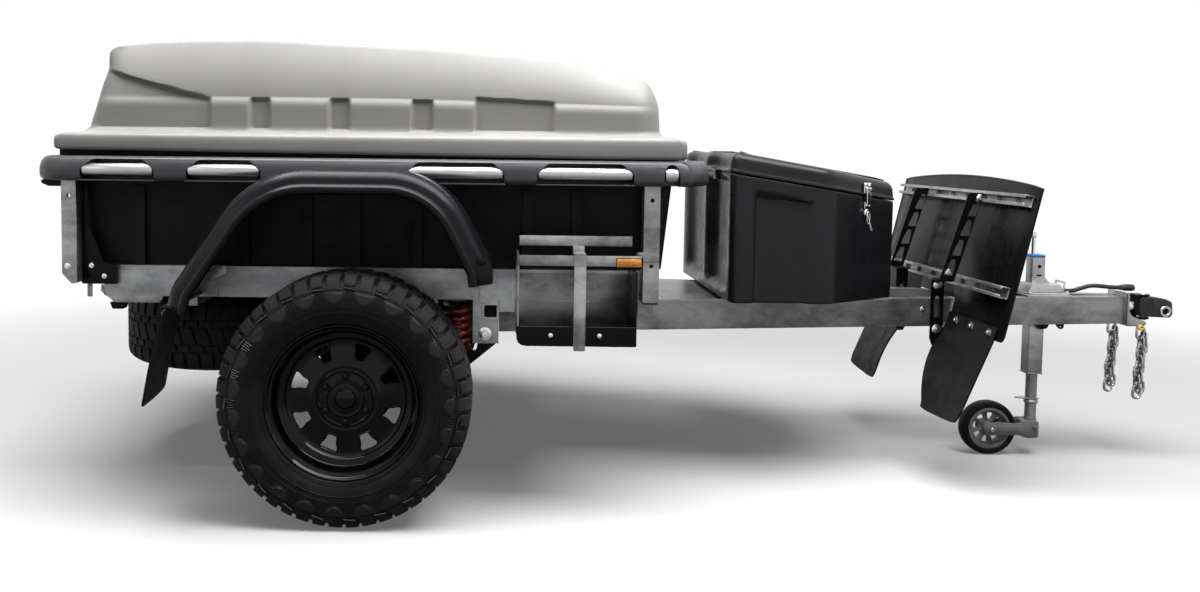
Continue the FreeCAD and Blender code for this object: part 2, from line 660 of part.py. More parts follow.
def rim_section(middle, hub):
    """The rim's barrel and disc, with its turning hub or with a plain centre hole."""
    flange = size.rim_flange_r
    half = size.rim_wide / 2
    barrel = [(flange, half), (flange, half - 7), (216, half - 11), (214, 62), (193, 46), (193, -22), (213, -62),
              (216, 11 - half), (flange, 7 - half), (flange, -half), (226, -half), (209, 14 - half), (206, -64),
              (186, -26), (186, 26), (112, 34), (100, 38)]
    bore = size.stub_r + size.run_gap
    centre = [(60, 38), (60, -100), (bore, -100), (bore, 50), (0, 50), (0, 62), (20, 60), (31, 54), (36, 50),
              (52, 50), (56, 46)]
    if not hub:
        centre = [(54, 38), (54, 46)]
    face = [(100, 46), (112, 42), (180, 36), (188, 50), (207, 66), (209, half - 14), (226, half)]
    return [(r, middle + y) for r, y in barrel + centre + face]


def ring_of(count, shape):
    """Copies of an outline, (radius, sideways), turned about the wheel's axis: gives (x, z) outlines."""
    outlines = []
    for i in range(count):
        angle = math.radians(360 / count * (i + 0.5))
        outlines.append([(u * math.cos(angle) - v * math.sin(angle), u * math.sin(angle) + v * math.cos(angle), *r)
                         for u, v, *r in shape])
    return outlines


WINDOW = [(122, -14, 6), (168, -27, 10), (168, 27, 10), (122, 14, 6)]
NUT = [(69.85 + 10 * math.cos(math.radians(60 * i)), 10 * math.sin(math.radians(60 * i))) for i in range(6)]


def wheels():
    middle = size.tyre_out - size.tyre_wide / 2
    at = Vector(size.axle_x, 0, size.tyre_r)
    pair("tyre", spun("tyre", tyre_section(middle), at, -AXES["Y"]))
    disc = spun("wheel_disc", rim_section(middle, True), at, -AXES["Y"])
    moved = [[(u + at.x, v + at.z, *r) for u, v, *r in outline] for outline in ring_of(8, WINDOW)]
    windows = slab("wheel_windows", "Y", moved, -middle - 60, -middle - 10)
    studs = [[(u + at.x, v + at.z) for u, v in outline] for outline in ring_of(6, NUT)]
    nuts = slab("wheel_nuts", "Y", studs, -middle - 56, -middle - 42)
    pair("wheel", fuse("wheel_with_nuts", [cut("wheel_cut", disc, windows), nuts]))

    spare_at = Vector(size.spare_x, 0, size.spare_z)
    node(spun("spare_tyre", tyre_section(0), spare_at, AXES["Z"]))
    spare = spun("spare_disc", rim_section(0, False), spare_at, -AXES["Z"])
    moved = [[(u + spare_at.x, v, *r) for u, v, *r in outline] for outline in ring_of(8, WINDOW)]
    node(cut("spare_wheel", spare, slab("spare_windows", "Z", moved, size.spare_z - 60, size.spare_z - 10)))
    carrier = fuse("spare_carrier", [
        box("carrier_bar", ("spare_x - 25", "spare_x + 25"), ("-rail_out", "rail_out"), ("620", "rail_low")),
        rod("carrier_bolt", AXES["Z"], 14, 200, ("spare_x", 0, 425)),
        rod("carrier_plate", AXES["Z"], 80, 8, ("spare_x", 0, "spare_z - 54"))])
    node(carrier)


# ---------------------------------------------------------------- toolbox
def box_plan(inset):
    knee_half = size.box_half - inset
    return [(size.box_rear + inset, -knee_half, 30), (size.box_knee, -knee_half, 60),
            (size.box_front - inset, -size.box_nose_half + inset, 40),
            (size.box_front - inset, size.box_nose_half - inset, 40), (size.box_knee, knee_half, 60),
            (size.box_rear + inset, knee_half, 30)]


def toolbox():
    pivot_x, pivot_z = size.box_rear - 7.5, size.box_seam_rear
    rear, front, wall = size.box_rear, size.box_front, size.box_wall
    body = common("box_body", [
        slab("box_body_plan", "Z", [box_plan(0)], 600, 1200),
        slab("box_body_side", "Y", [[
            (rear, size.box_low), (front, size.box_low), (front, size.box_seam_front),
            (rear, size.box_seam_rear)]], -500, 500)])
    hollow = slab("box_hollow", "Z", [box_plan(wall)], size.box_low + wall, 1200)
    panels = []
    for side in (-1, 1):
        y = ("-460", "3.5 - box_half") if side < 0 else ("box_half - 3.5", "460")
        panels.append(box("side_panel", (330, 510), y, (620, 1000)))
    knuckles = []
    for y in (-220, 180):
        knuckles.append(rod("box_knuckle", AXES["Y"], 7, 19, (pivot_x, y, pivot_z)))
        knuckles.append(box("box_knuckle_foot", (pivot_x, rear + 2), (y, y + 19), (pivot_z - 7, pivot_z - 0.5)))
    node(fuse("toolbox_body", [cut("box_shell", body, [hollow] + panels)] + knuckles))

    def cover(label, inset):
        gap = 0.6
        low = -40 if inset else gap
        return common(label, [
            slab(label + "_plan", "Z", [box_plan(inset)], 900, 1200),
            slab(label + "_side", "Y", [[
                (rear + inset, size.box_seam_rear + low), (front - inset, size.box_seam_front + low),
                (front - inset, size.box_top_front - inset, 25 - inset),
                (rear + inset, size.box_top_rear - inset, 25 - inset)]], -500, 500)])

    leaves = []
    for y in (-200, 160):
        leaves.append(rod("cover_knuckle", AXES["Y"], 7, 19, (pivot_x, y, pivot_z)))
        leaves.append(box("cover_knuckle_foot", (pivot_x, rear + 2), (y, y + 19), (pivot_z + 1, pivot_z + 7)))
    node(fuse("toolbox_lid", [cut("cover_shell", cover("cover", 0), cover("cover_hollow", wall))] + leaves))

    # the latch sits on the tapered right-hand face, hung from the lid over the seam
    taper = math.atan2(size.box_half - size.box_nose_half, size.box_front - size.box_knee)
    at = Vector(728, 0, size.box_seam_rear + (728 - rear) * (size.box_seam_front - size.box_seam_rear) / (front - rear))
    at.y = -size.box_half + (at.x - size.box_knee) * math.tan(taper)
    latch = slab("latch_plate", "Y", [[(-18, -34, 6), (18, -34, 6), (18, 42, 6), (-18, 42, 6)]], -14, -2)
    hook = slab("latch_base", "Y", [[(-12, 6), (12, 6), (12, 36), (-12, 36)]], -2, 0)
    whole = fuse("latch", [latch, hook])
    whole.Placement = FreeCAD.Placement(at, FreeCAD.Rotation(AXES["Z"], math.degrees(taper)))
    node(whole, "toolbox_latch")


# ---------------------------------------------------------------- stone guard
def guard():
    rise = size.guard_high_z - size.guard_low_z
    run = size.guard_high_x - size.guard_low_x
    tall = math.hypot(rise, run)
    lean = FreeCAD.Rotation(AXES["Y"], math.degrees(math.atan2(run, rise)))
    foot = FreeCAD.Placement(Vector(size.guard_low_x, 0, size.guard_low_z), lean)
    half = size.guard_half
    crown = 2 * size.guard_crown
    arch = 0.98 * half / math.tan(math.atan(crown / half))
    # the lower edge is cut out over the drawbar arms
    slot_half, slot_tall = arm_edge(size.guard_low_x) + 8, 95
    plate = slab("guard_plate", "X", [[
        (-half, 0, 20), (-slot_half, 0), (-slot_half, slot_tall), (slot_half, slot_tall), (slot_half, 0), (half, 0, 20),
        (half, tall), (0, tall + crown, arch), (-half, tall)]], 0, size.guard_thick)
    plate.Placement = foot
    node(plate)
    channels = []
    for along in (161, 470):
        channel = slab("guard_channel", "X", [[(-520, along - 20), (520, along - 20), (520, along + 20),
                                               (-520, along + 20)]], -30, 0)
        channel.Placement = foot
        channels.append(channel)
    node(group("guard_channels", channels))

    lean_rate = run / rise
    channel_back = [(size.guard_low_x + (z - size.guard_low_z) * lean_rate - 30.7, z) for z in (963.6, 1002.7)]
    bar = slab("strut_bar", "Y", [[(1036, 690), (1086, 690)] + channel_back + [(1150, 1002.7)]], -233, -227)
    windows = []
    for i in range(4):
        low = 715 + 68 * i
        left = 1036 + (low - 690) * 114 / 312.7
        windows.append([(left + 14, low, 4), (left + 36, low, 4), (left + 56, low + 50, 4), (left + 32, low + 50, 4)])
    link = box("strut_link", (1036, 1086), ("-233", "-151"), ("684", "690"))
    bracket = slab("strut_bracket", "Z", [[
        (1036, -arm_edge(1036)), (1086, -arm_edge(1086)), (1086, -arm_edge(1086) - 6),
        (1036, -arm_edge(1036) - 6)]], 440, 690)
    strut = fuse("guard_strut", [cut("strut_cut", bar, slab("strut_windows", "Y", windows, -240, -220)), link, bracket])
    pair("guard_strut", strut)

    low_x, low_z = size.guard_low_x, size.guard_low_z
    sheet = slab("flap_sheet", "Y", [[
        (low_x + 44 * lean_rate, low_z + 44), (low_x, low_z), (987, 244), (981, 244), (low_x - 6, low_z),
        (low_x + 44 * lean_rate - 6, low_z + 44)]], -512, -160)
    front_view = slab("flap_front_view", "X", [[
        (-512, 600), (-160, 600), (-160, 480), (-212, 300), (-238, 240), (-500, 240), (-512, 262)]], 900, 1200)
    flap = common("guard_flap", [sheet, front_view])
    pair("guard_flap", flap)


# ---------------------------------------------------------------- jockey wheel
def jockey():
    x = size.jockey_x
    bore = rod("sleeve_bore", AXES["Z"], 20.08, 460, (x, 0, 300))
    body = fuse("jockey_body", [
        box("sleeve", (x - 38, x + 38), ("-34", "34"), (319, 700)),
        box("clamp_plate", (1431, 1601), ("-74", "74"), ("arm_high", "arm_high + 12")),
        slab("clamp_housing", "Y", [[(1440, 624), (1592, 624), (1570, 661, 6), (1450, 661, 6)]], -50, 50),
        box("head", (x - 26, x + 26), ("-30", "30"), (661, 761)),
        rod("crank_spindle", AXES["Z"], 7, 90, (x - 14, 0, 758))])
    node(cut("jockey_post", body, bore))
    tube = fuse("tube_flag", [
        rod("inner_tube", AXES["Z"], 20, 387, (x, 0, 213)),
        box("pin_flag", (x - 48, x), ("-4", "4"), (213, 221))])
    node(cut("jockey_tube", tube, rod("swivel_bore", AXES["Z"], 12.05, 20, (x, 0, 212))))
    cheeks = [slab("fork_cheek", "Y", [[
        (x + 20, 207, 6), (x - 22, 207, 6), (1318, 122, 16), (1318, 84, 16), (1352, 84, 16), (x + 20, 160, 8)]],
        low, low + 6) for low in (-36, 30)]
    fork = fuse("jockey_fork", cheeks + [
        box("fork_bridge", (x - 20, x + 20), ("-36", "36"), (190, 207)),
        rod("swivel_pin", AXES["Z"], 12, 27, (x, 0, 200)),
        rod("swivel_boss", AXES["Z"], 18, 6, (x, 0, 206.7)),
        rod("wheel_axle", AXES["Y"], 8, 80, (size.jockey_wheel_x, -40, size.jockey_wheel_r))])
    node(fork)
    at = Vector(size.jockey_wheel_x, 0, size.jockey_wheel_r)
    half = size.jockey_wheel_wide / 2
    r = size.jockey_wheel_r
    node(spun("jockey_tyre", [(78, -half + 3), (r - 6, -half), (r, -half + 8), (r, half - 8), (r - 6, half),
                              (78, half - 3)], at))
    rim = spun("jockey_rim_disc", [(8.05, -half), (24, -half), (24, -8), (64, -8), (64, -half + 3), (78, -half + 3),
                                   (78, half - 3), (64, half - 3), (64, 8), (24, 8), (24, half), (8.05, half)], at)
    spokes = [[(u + at.x, v + at.z, *q) for u, v, *q in outline]
              for outline in ring_of(8, [(32, -7, 3), (56, -13, 4), (56, 13, 4), (32, 7, 3)])]
    node(cut("jockey_rim", rim, slab("jockey_windows", "Y", spokes, -12, 12)))


# ---------------------------------------------------------------- coupling, chains and cable
def coupling():
    z = size.coupling_z
    front = size.arm_front
    plate = fuse("coupling_plate", [
        box("nose_plate", (front, front + 8), ("-62", "62"), (505, 628)),
        box("right_lug", (front + 8, front + 72), ("-64", "-56"), (505, 528)),
        box("left_lug", (front + 8, front + 36), ("56", "64"), (505, 528)),
        rod("swivel_boss", AXES["X"], 26, 10.7, (front + 8, 0, z)),
        rod("swivel_shaft", AXES["X"], 12, 30, (front + 10, 0, z)),
        rod("swivel_nut", AXES["X"], 18, 10, (front + 39.3, 0, z))])
    node(plate)
    arm_z = size.coupling_tall / 2 + 1.5
    yoke = fuse("yoke_solid", [
        rod("yoke_ring", AXES["X"], 46, 20, (front + 19, 0, z)),
        box("yoke_upper", (front + 19, size.coupling_yaw_x + 18), ("-24", "24"), (z + arm_z, z + arm_z + 7)),
        box("yoke_lower", (front + 19, size.coupling_yaw_x + 18), ("-24", "24"), (z - arm_z - 7, z - arm_z)),
        rod("yaw_pin", AXES["Z"], 8, 102, ("coupling_yaw_x", 0, z - 51))])
    node(cut("coupling_yoke", yoke, rod("yoke_bore", AXES["X"], 12.05, 40, (front + 9, 0, z))))
    half = size.coupling_half
    block = slab("block_form", "Z", [[
        (size.coupling_yaw_x - half, -half, half - 1), (size.coupling_nose, -half, 14), (size.coupling_nose, half, 14),
        (size.coupling_yaw_x - half, half, half - 1)]], z - size.coupling_tall / 2, z + size.coupling_tall / 2)
    bush = rod("tow_bush", AXES["Y"], 20, 80, ("tow_bore_x", -40, "tow_bore_z"))
    node(cut("coupling_block", fuse("block_with_bush", [block, bush]), [
        rod("tow_bore", AXES["Y"], "tow_bore_r", 100, ("tow_bore_x", -50, "tow_bore_z")),
        rod("yaw_bore", AXES["Z"], 8.05, 100, ("coupling_yaw_x", 0, z - 50))]))


def chains():
    """Seven links on each side, every other one turned a quarter."""
    links = []
    pitch, half_long, half_wide, bar = 37.7, 28, 16, 9
    top = 505
    for side, x in ((-1, size.arm_front + 58), (1, size.arm_front + 22)):
        for i in range(7):
            z = top - half_long - pitch * i
            across = x if i % 2 == 0 else side * 60
            hole_long, hole_wide = half_long - bar, half_wide - bar
            outlines = []
            for tall, wide in ((half_long, half_wide), (hole_long, hole_wide)):
                corner = wide - 0.1
                outlines.append([(across - wide, z - tall, corner), (across + wide, z - tall, corner),
                                 (across + wide, z + tall, corner), (across - wide, z + tall, corner)])
            through = side * 60 if i % 2 == 0 else x
            normal = "Y" if i % 2 == 0 else "X"
            links.append(slab("link", normal, outlines, through - bar / 2, through + bar / 2))
    node(group("safety_chains", links))


CABLE_R = 8
CABLE_ROUTE = [(1619, 24, 622), (1650, 24, 622), (1682, 20, 634), (1714, 13, 646), (1749, 5, 645), (1784, 0, 641),
               (1815, 0, 641)]


def cable():
    points = [Vector(*p) for p in CABLE_ROUTE]
    edges = []
    start = points[0]
    length = 0
    for i in range(1, len(points) - 1):
        before, after = points[i - 1] - points[i], points[i + 1] - points[i]
        turn = math.pi - before.getAngle(after)
        reach = 0.45 * min(before.Length, after.Length)
        radius = reach / math.tan(turn / 2)
        print("cable bend", i, "radius", round(radius, 1))
        first = points[i] + before.normalize() * reach
        last = points[i] + after.normalize() * reach
        middle = (before + after).normalize()
        mid = points[i] + middle * (radius / math.cos(turn / 2) - radius)
        edges += [Part.LineSegment(start, first).toShape(), Part.Arc(first, mid, last).toShape()]
        length += (first - start).Length + radius * turn
        start = last
    edges.append(Part.LineSegment(start, points[-1]).toShape())
    length += (points[-1] - start).Length
    path = Part.Wire(edges)
    ring = Part.Wire(Part.makeCircle(CABLE_R, points[0], points[1] - points[0]))
    piece = doc.addObject("Part::Feature", "trailer_cable")
    piece.Shape = path.makePipeShell([ring], True, False)
    print("cable length", round(length, 1), "volume ratio", piece.Shape.Volume / (math.pi * CABLE_R ** 2 * length))
    node(piece)
    node(rod("trailer_plug", AXES["X"], 13, 52, (points[-1].x, 0, points[-1].z)))
    node(rod("cable_gland", AXES["X"], 9, 18, (points[0].x - 18, points[0].y, points[0].z)))


# ---------------------------------------------------------------- the whole trailer
for make in (side_rails, cross_beams, drawbar_arms, drawbar_deck, corner_posts, tub, rim, lid, mudguards, mudflaps,
             can_carriers, lamps, suspension, wheels, toolbox, guard, jockey, coupling, chains, cable):
    make()
doc.recompute()

for piece in doc.Objects:
    if {"Invalid", "Error"} & set(piece.State):
        raise RuntimeError(f"{piece.Name} ({piece.Label}) did not build: {piece.State}")
os.makedirs("parts", exist_ok=True)
for piece in NODES:
    shape = piece.Shape
    if shape.isNull() or not shape.isValid() or not shape.Solids:
        raise RuntimeError(f"{piece.Label} has no valid solid")
    shape.exportStep(f"parts/{piece.Label}.step")
    bounds = shape.BoundBox
    print(f"{piece.Label:20s} solids {len(shape.Solids):2d} volume {shape.Volume / 1e6:9.3f} l",
          [round(v) for v in (bounds.XMin, bounds.XMax, bounds.YMin, bounds.YMax, bounds.ZMin, bounds.ZMax)])
print(len(NODES), "nodes")
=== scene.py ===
# Looks of the off-road box trailer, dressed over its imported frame. Metres, +X to the coupling, +Y left, +Z up.
import math

import bmesh
import bpy
from mathutils import Matrix, Vector


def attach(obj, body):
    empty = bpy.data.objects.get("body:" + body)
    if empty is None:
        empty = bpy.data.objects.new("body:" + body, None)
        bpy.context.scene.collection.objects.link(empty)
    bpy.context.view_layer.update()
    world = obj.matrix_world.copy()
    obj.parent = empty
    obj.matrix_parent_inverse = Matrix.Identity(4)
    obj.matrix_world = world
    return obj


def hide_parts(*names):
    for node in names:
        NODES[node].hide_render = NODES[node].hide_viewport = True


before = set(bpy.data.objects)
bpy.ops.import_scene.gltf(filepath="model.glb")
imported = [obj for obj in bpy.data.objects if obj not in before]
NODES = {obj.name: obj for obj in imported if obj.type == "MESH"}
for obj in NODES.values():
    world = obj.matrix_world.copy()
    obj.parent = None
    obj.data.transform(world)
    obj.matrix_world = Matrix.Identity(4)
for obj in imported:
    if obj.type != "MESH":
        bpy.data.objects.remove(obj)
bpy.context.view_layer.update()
SCENE = bpy.context.scene
MM = 0.001

# walls given to open skins: inwards from a moulding's outside, or evenly about a rubber sheet
SHELL = [("SOLIDIFY", {"thickness": 0.006, "offset": -1})]
THICK_SHELL = [("SOLIDIFY", {"thickness": 0.007, "offset": -1})]
SHEET = [("SOLIDIFY", {"thickness": 0.006, "offset": 0})]


# ---------------------------------------------------------------- mesh helpers, millimetres until a piece is made
def smooth_edges(bm, angle):
    for face in bm.faces:
        face.smooth = True
    limit = math.radians(angle)
    for edge in bm.edges:
        edge.smooth = len(edge.link_faces) == 2 and edge.calc_face_angle(0) < limit


def piece(name, bm, slot, body, stands_for=(), sharp=38, finish=None, modifiers=()):
    """Make an object from millimetre geometry, dressed and riding on its body."""
    bmesh.ops.remove_doubles(bm, verts=bm.verts, dist=0.01)
    bmesh.ops.recalc_face_normals(bm, faces=bm.faces)
    smooth_edges(bm, sharp)
    bm.transform(Matrix.Scale(MM, 4))
    mesh = bpy.data.meshes.new(name)
    bm.to_mesh(mesh)
    bm.free()
    made = bpy.data.objects.new(name, mesh)
    mesh.materials.append(finish or FINISH[slot])
    SCENE.collection.objects.link(made)
    for kind, settings in modifiers:
        extra = made.modifiers.new(kind.lower(), kind)
        for key, value in settings.items():
            setattr(extra, key, value)
    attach(made, body)
    if stands_for:
        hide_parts(*stands_for)
    return made


def add(bm, part, matrix=None):
    """Move a finished part into a bigger mesh."""
    mesh = bpy.data.meshes.new("part")
    part.to_mesh(mesh)
    part.free()
    if matrix is not None:
        mesh.transform(matrix)
    bm.from_mesh(mesh)
    bpy.data.meshes.remove(mesh)


def ease(part, size, steps=2, angle=28):
    """Round the edges that turn more than an angle."""
    if size <= 0:
        return part
    limit = math.radians(angle)
    edges = [e for e in part.edges if len(e.link_faces) == 2 and e.calc_face_angle(0) > limit]
    bmesh.ops.bevel(part, geom=edges, offset=size, segments=steps, profile=0.5, affect="EDGES", clamp_overlap=True)
    return part


def rounded(points, steps=5):
    """An outline of (u, v, radius) with its corners turned into arcs."""
    count = len(points)
    out = []
    for i in range(count):
        here = Vector(points[i][:2])
        radius = points[i][2] if len(points[i]) > 2 else 0
        if radius <= 0:
            out.append(tuple(here))
            continue
        before = Vector(points[i - 1][:2]) - here
        after = Vector(points[(i + 1) % count][:2]) - here
        turn = math.pi - before.angle(after)
        if turn < 0.01:
            out.append(tuple(here))
            continue
        reach = min(radius * math.tan(turn / 2), before.length * 0.49, after.length * 0.49)
        radius = reach / math.tan(turn / 2)
        before.normalize()
        after.normalize()
        centre = here + (before + after).normalized() * (radius / math.cos(turn / 2))
        first, last = here + before * reach - centre, here + after * reach - centre
        for k in range(steps + 1):
            t = k / steps
            out.append(tuple(centre + (first * math.sin((1 - t) * turn) + last * math.sin(t * turn)) / math.sin(turn)))
    return out


def weave(bm, rows, wrap=True):
    """Faces between neighbouring rows of corners, all the way round or as an open sheet."""
    count = len(rows[0])
    for first, second in zip(rows, rows[1:]):
        for i in range(count if wrap else count - 1):
            j = (i + 1) % count
            bm.faces.new((first[i], first[j], second[j], second[i]))


def rect(u, v, radius=0):
    """The outline of a rectangle between two values of u and two of v."""
    return [(u[0], v[0], radius), (u[1], v[0], radius), (u[1], v[1], radius), (u[0], v[1], radius)]


PLANES = {"X": lambda u, v, w: (w, u, v), "Y": lambda u, v, w: (u, w, v), "Z": lambda u, v, w: (u, v, w)}


def prism(outline, normal, low, high, soft=1.5, steps=2, holes=()):
    """An outline made solid along an axis, with eased edges; its holes go right through."""
    part = bmesh.new()
    put = PLANES[normal]
    loops = [rounded(outline)] + [rounded(h) for h in holes]
    if not holes:
        lower = [part.verts.new(put(u, v, low)) for u, v in loops[0]]
        upper = [part.verts.new(put(u, v, high)) for u, v in loops[0]]
        part.faces.new(lower)
        part.faces.new(upper)
        weave(part, (lower, upper))
    else:
        edges = []
        for loop in loops:
            ring = [part.verts.new(put(u, v, low)) for u, v in loop]
            edges += [part.edges.new((ring[i - 1], ring[i])) for i in range(len(ring))]
        bmesh.ops.triangle_fill(part, edges=edges, use_beauty=True)
        bmesh.ops.dissolve_limit(part, angle_limit=0.01, verts=part.verts, edges=part.edges, delimit=set())
        raised = bmesh.ops.extrude_face_region(part, geom=list(part.faces))
        moved = [g for g in raised["geom"] if isinstance(g, bmesh.types.BMVert)]
        bmesh.ops.translate(part, verts=moved, vec=Vector(put(0, 0, high - low)))
    bmesh.ops.recalc_face_normals(part, faces=part.faces)
    return ease(part, soft, steps)


def block(x, y, z, soft=1.5, steps=2):
    part = bmesh.new()
    bmesh.ops.create_cube(part, size=1)
    middle = Vector(((x[0] + x[1]) / 2, (y[0] + y[1]) / 2, (z[0] + z[1]) / 2))
    size = (x[1] - x[0], y[1] - y[0], z[1] - z[0])
    part.transform(Matrix.Translation(middle) @ Matrix.Diagonal((*size, 1)))
    return ease(part, min(soft, 0.45 * min(abs(s) for s in size)), steps)


AIM = {"X": Matrix.Rotation(math.radians(90), 4, "Y"), "-X": Matrix.Rotation(math.radians(-90), 4, "Y"),
       "Y": Matrix.Rotation(math.radians(-90), 4, "X"), "-Y": Matrix.Rotation(math.radians(90), 4, "X"),
       "Z": Matrix.Identity(4), "-Z": Matrix.Rotation(math.radians(180), 4, "X")}


def place(axis, at):
    """Turn a part from local Z to an axis and carry it to a place."""
    return Matrix.Translation(Vector(at)) @ AIM[axis]


def spin(degrees):
    """A turn about local Z."""
    return Matrix.Rotation(math.radians(degrees), 4, "Z")


def polar(radius, angle, height):
    """A point about local Z, with its angle in radians."""
    return radius * math.cos(angle), radius * math.sin(angle), height


def turned(profile, count=48):
    """A (radius, height) profile turned about local Z: a solid if it starts on the axis, or else a ring."""
    part = bmesh.new()
    rings = []
    for i in range(count):
        a = 2 * math.pi * i / count
        rings.append([part.verts.new(polar(r, a, h)) if r else None for r, h in profile])
    poles = {k: part.verts.new((0, 0, h)) for k, (r, h) in enumerate(profile) if not r}
    pairs = len(profile) if profile[0][0] else len(profile) - 1
    for i in range(count):
        j = (i + 1) % count
        for k in range(pairs):
            m = (k + 1) % len(profile)
            corners = [rings[i][k] or poles[k], rings[j][k] or poles[k], rings[j][m] or poles[m],
                       rings[i][m] or poles[m]]
            unique = list(dict.fromkeys(corners))
            if len(unique) > 2:
                part.faces.new(unique)
    bmesh.ops.recalc_face_normals(part, faces=part.faces)
    return part


def lathed(profile, count, axis, at):
    """A turned part laid along an axis from a place."""
    part = turned(profile, count)
    part.transform(place(axis, at))
    return part


def bar(path, radius, sides=12, closed=False):
    """A round bar along points."""
    part = bmesh.new()
    points = [Vector(p) for p in path]
    count = len(points)
    rings = []
    side = None
    for i, here in enumerate(points):
        if closed:
            ahead = points[(i + 1) % count] - points[i - 1]
        else:
            ahead = points[min(i + 1, count - 1)] - points[max(i - 1, 0)]
        ahead.normalize()
        if side is None:
            side = ahead.orthogonal().normalized()
        side = (side - ahead * side.dot(ahead)).normalized()
        other = ahead.cross(side)
        rings.append([part.verts.new(here + (side * math.cos(2 * math.pi * k / sides)
                                             + other * math.sin(2 * math.pi * k / sides)) * radius)
                      for k in range(sides)])
    for i in range(count if closed else count - 1):
        first, second = rings[i], rings[(i + 1) % count]
        shift = 0
        if closed and i == count - 1:
            shift = min(range(sides), key=lambda s: (first[0].co - second[s].co).length)
        for k in range(sides):
            m = (k + 1) % sides
            part.faces.new((first[k], first[m], second[(m + shift) % sides], second[(k + shift) % sides]))
    if not closed:
        part.faces.new(rings[0])
        part.faces.new(rings[-1])
    bmesh.ops.recalc_face_normals(part, faces=part.faces)
    return part


def bolt(at, axis, across=13.0, tall=7.0, washer=11.0):
    """A hexagon head and its stub over a washer, standing off a face along an axis."""
    part = turned([(0, 0), (washer, 0), (washer, 1.4), (washer - 0.8, 2.0), (0, 2.0)], 20)
    head = turned([(0, 1.8), (across * 0.577, 1.8), (across * 0.577, tall - 1.2), (across * 0.5, tall),
                   (0, tall)], 6)
    add(part, head)
    stub = turned([(0, tall - 0.5), (across * 0.27, tall - 0.5), (across * 0.27, tall + 3), (0, tall + 3.6)], 12)
    add(part, stub)
    part.transform(place(axis, at))
    return part


def mirrored(bm):
    """The same geometry on the left side."""
    twin = bm.copy()
    twin.transform(Matrix.Diagonal((1, -1, 1, 1)))
    bmesh.ops.reverse_faces(twin, faces=twin.faces)
    return twin


def both(name, bm, slot, node=None, **more):
    """A right-hand piece of the chassis and its mirror image."""
    halves = {"_right": bm, "_left": mirrored(bm)}
    for side, half in halves.items():
        piece(name + side, half, slot, "chassis", (node + side,) if node else (), **more)


def joined(*parts):
    """One mesh out of parts, each alone or with the matrix that places it."""
    bm = bmesh.new()
    for part in parts:
        add(bm, *(part if isinstance(part, tuple) else (part,)))
    return bm


def along(table, x):
    """A smooth curve through (x, value) points."""
    if x <= table[0][0]:
        return table[0][1]
    if x >= table[-1][0]:
        return table[-1][1]
    k = max(i for i in range(len(table) - 1) if table[i][0] <= x)
    (x0, v0), (x1, v1) = table[k], table[k + 1]

    def slope(i):
        a, b = max(i - 1, 0), min(i + 1, len(table) - 1)
        return (table[b][1] - table[a][1]) / (table[b][0] - table[a][0])

    span = x1 - x0
    t = (x - x0) / span
    m0, m1 = slope(k) * span, slope(k + 1) * span
    return ((2 * t ** 3 - 3 * t * t + 1) * v0 + (t ** 3 - 2 * t * t + t) * m0
            + (3 * t * t - 2 * t ** 3) * v1 + (t ** 3 - t * t) * m1)


def step(low, high, value):
    t = min(max((value - low) / (high - low), 0), 1)
    return t * t * (3 - 2 * t)


def lerp(a, b, t):
    return a + (b - a) * t


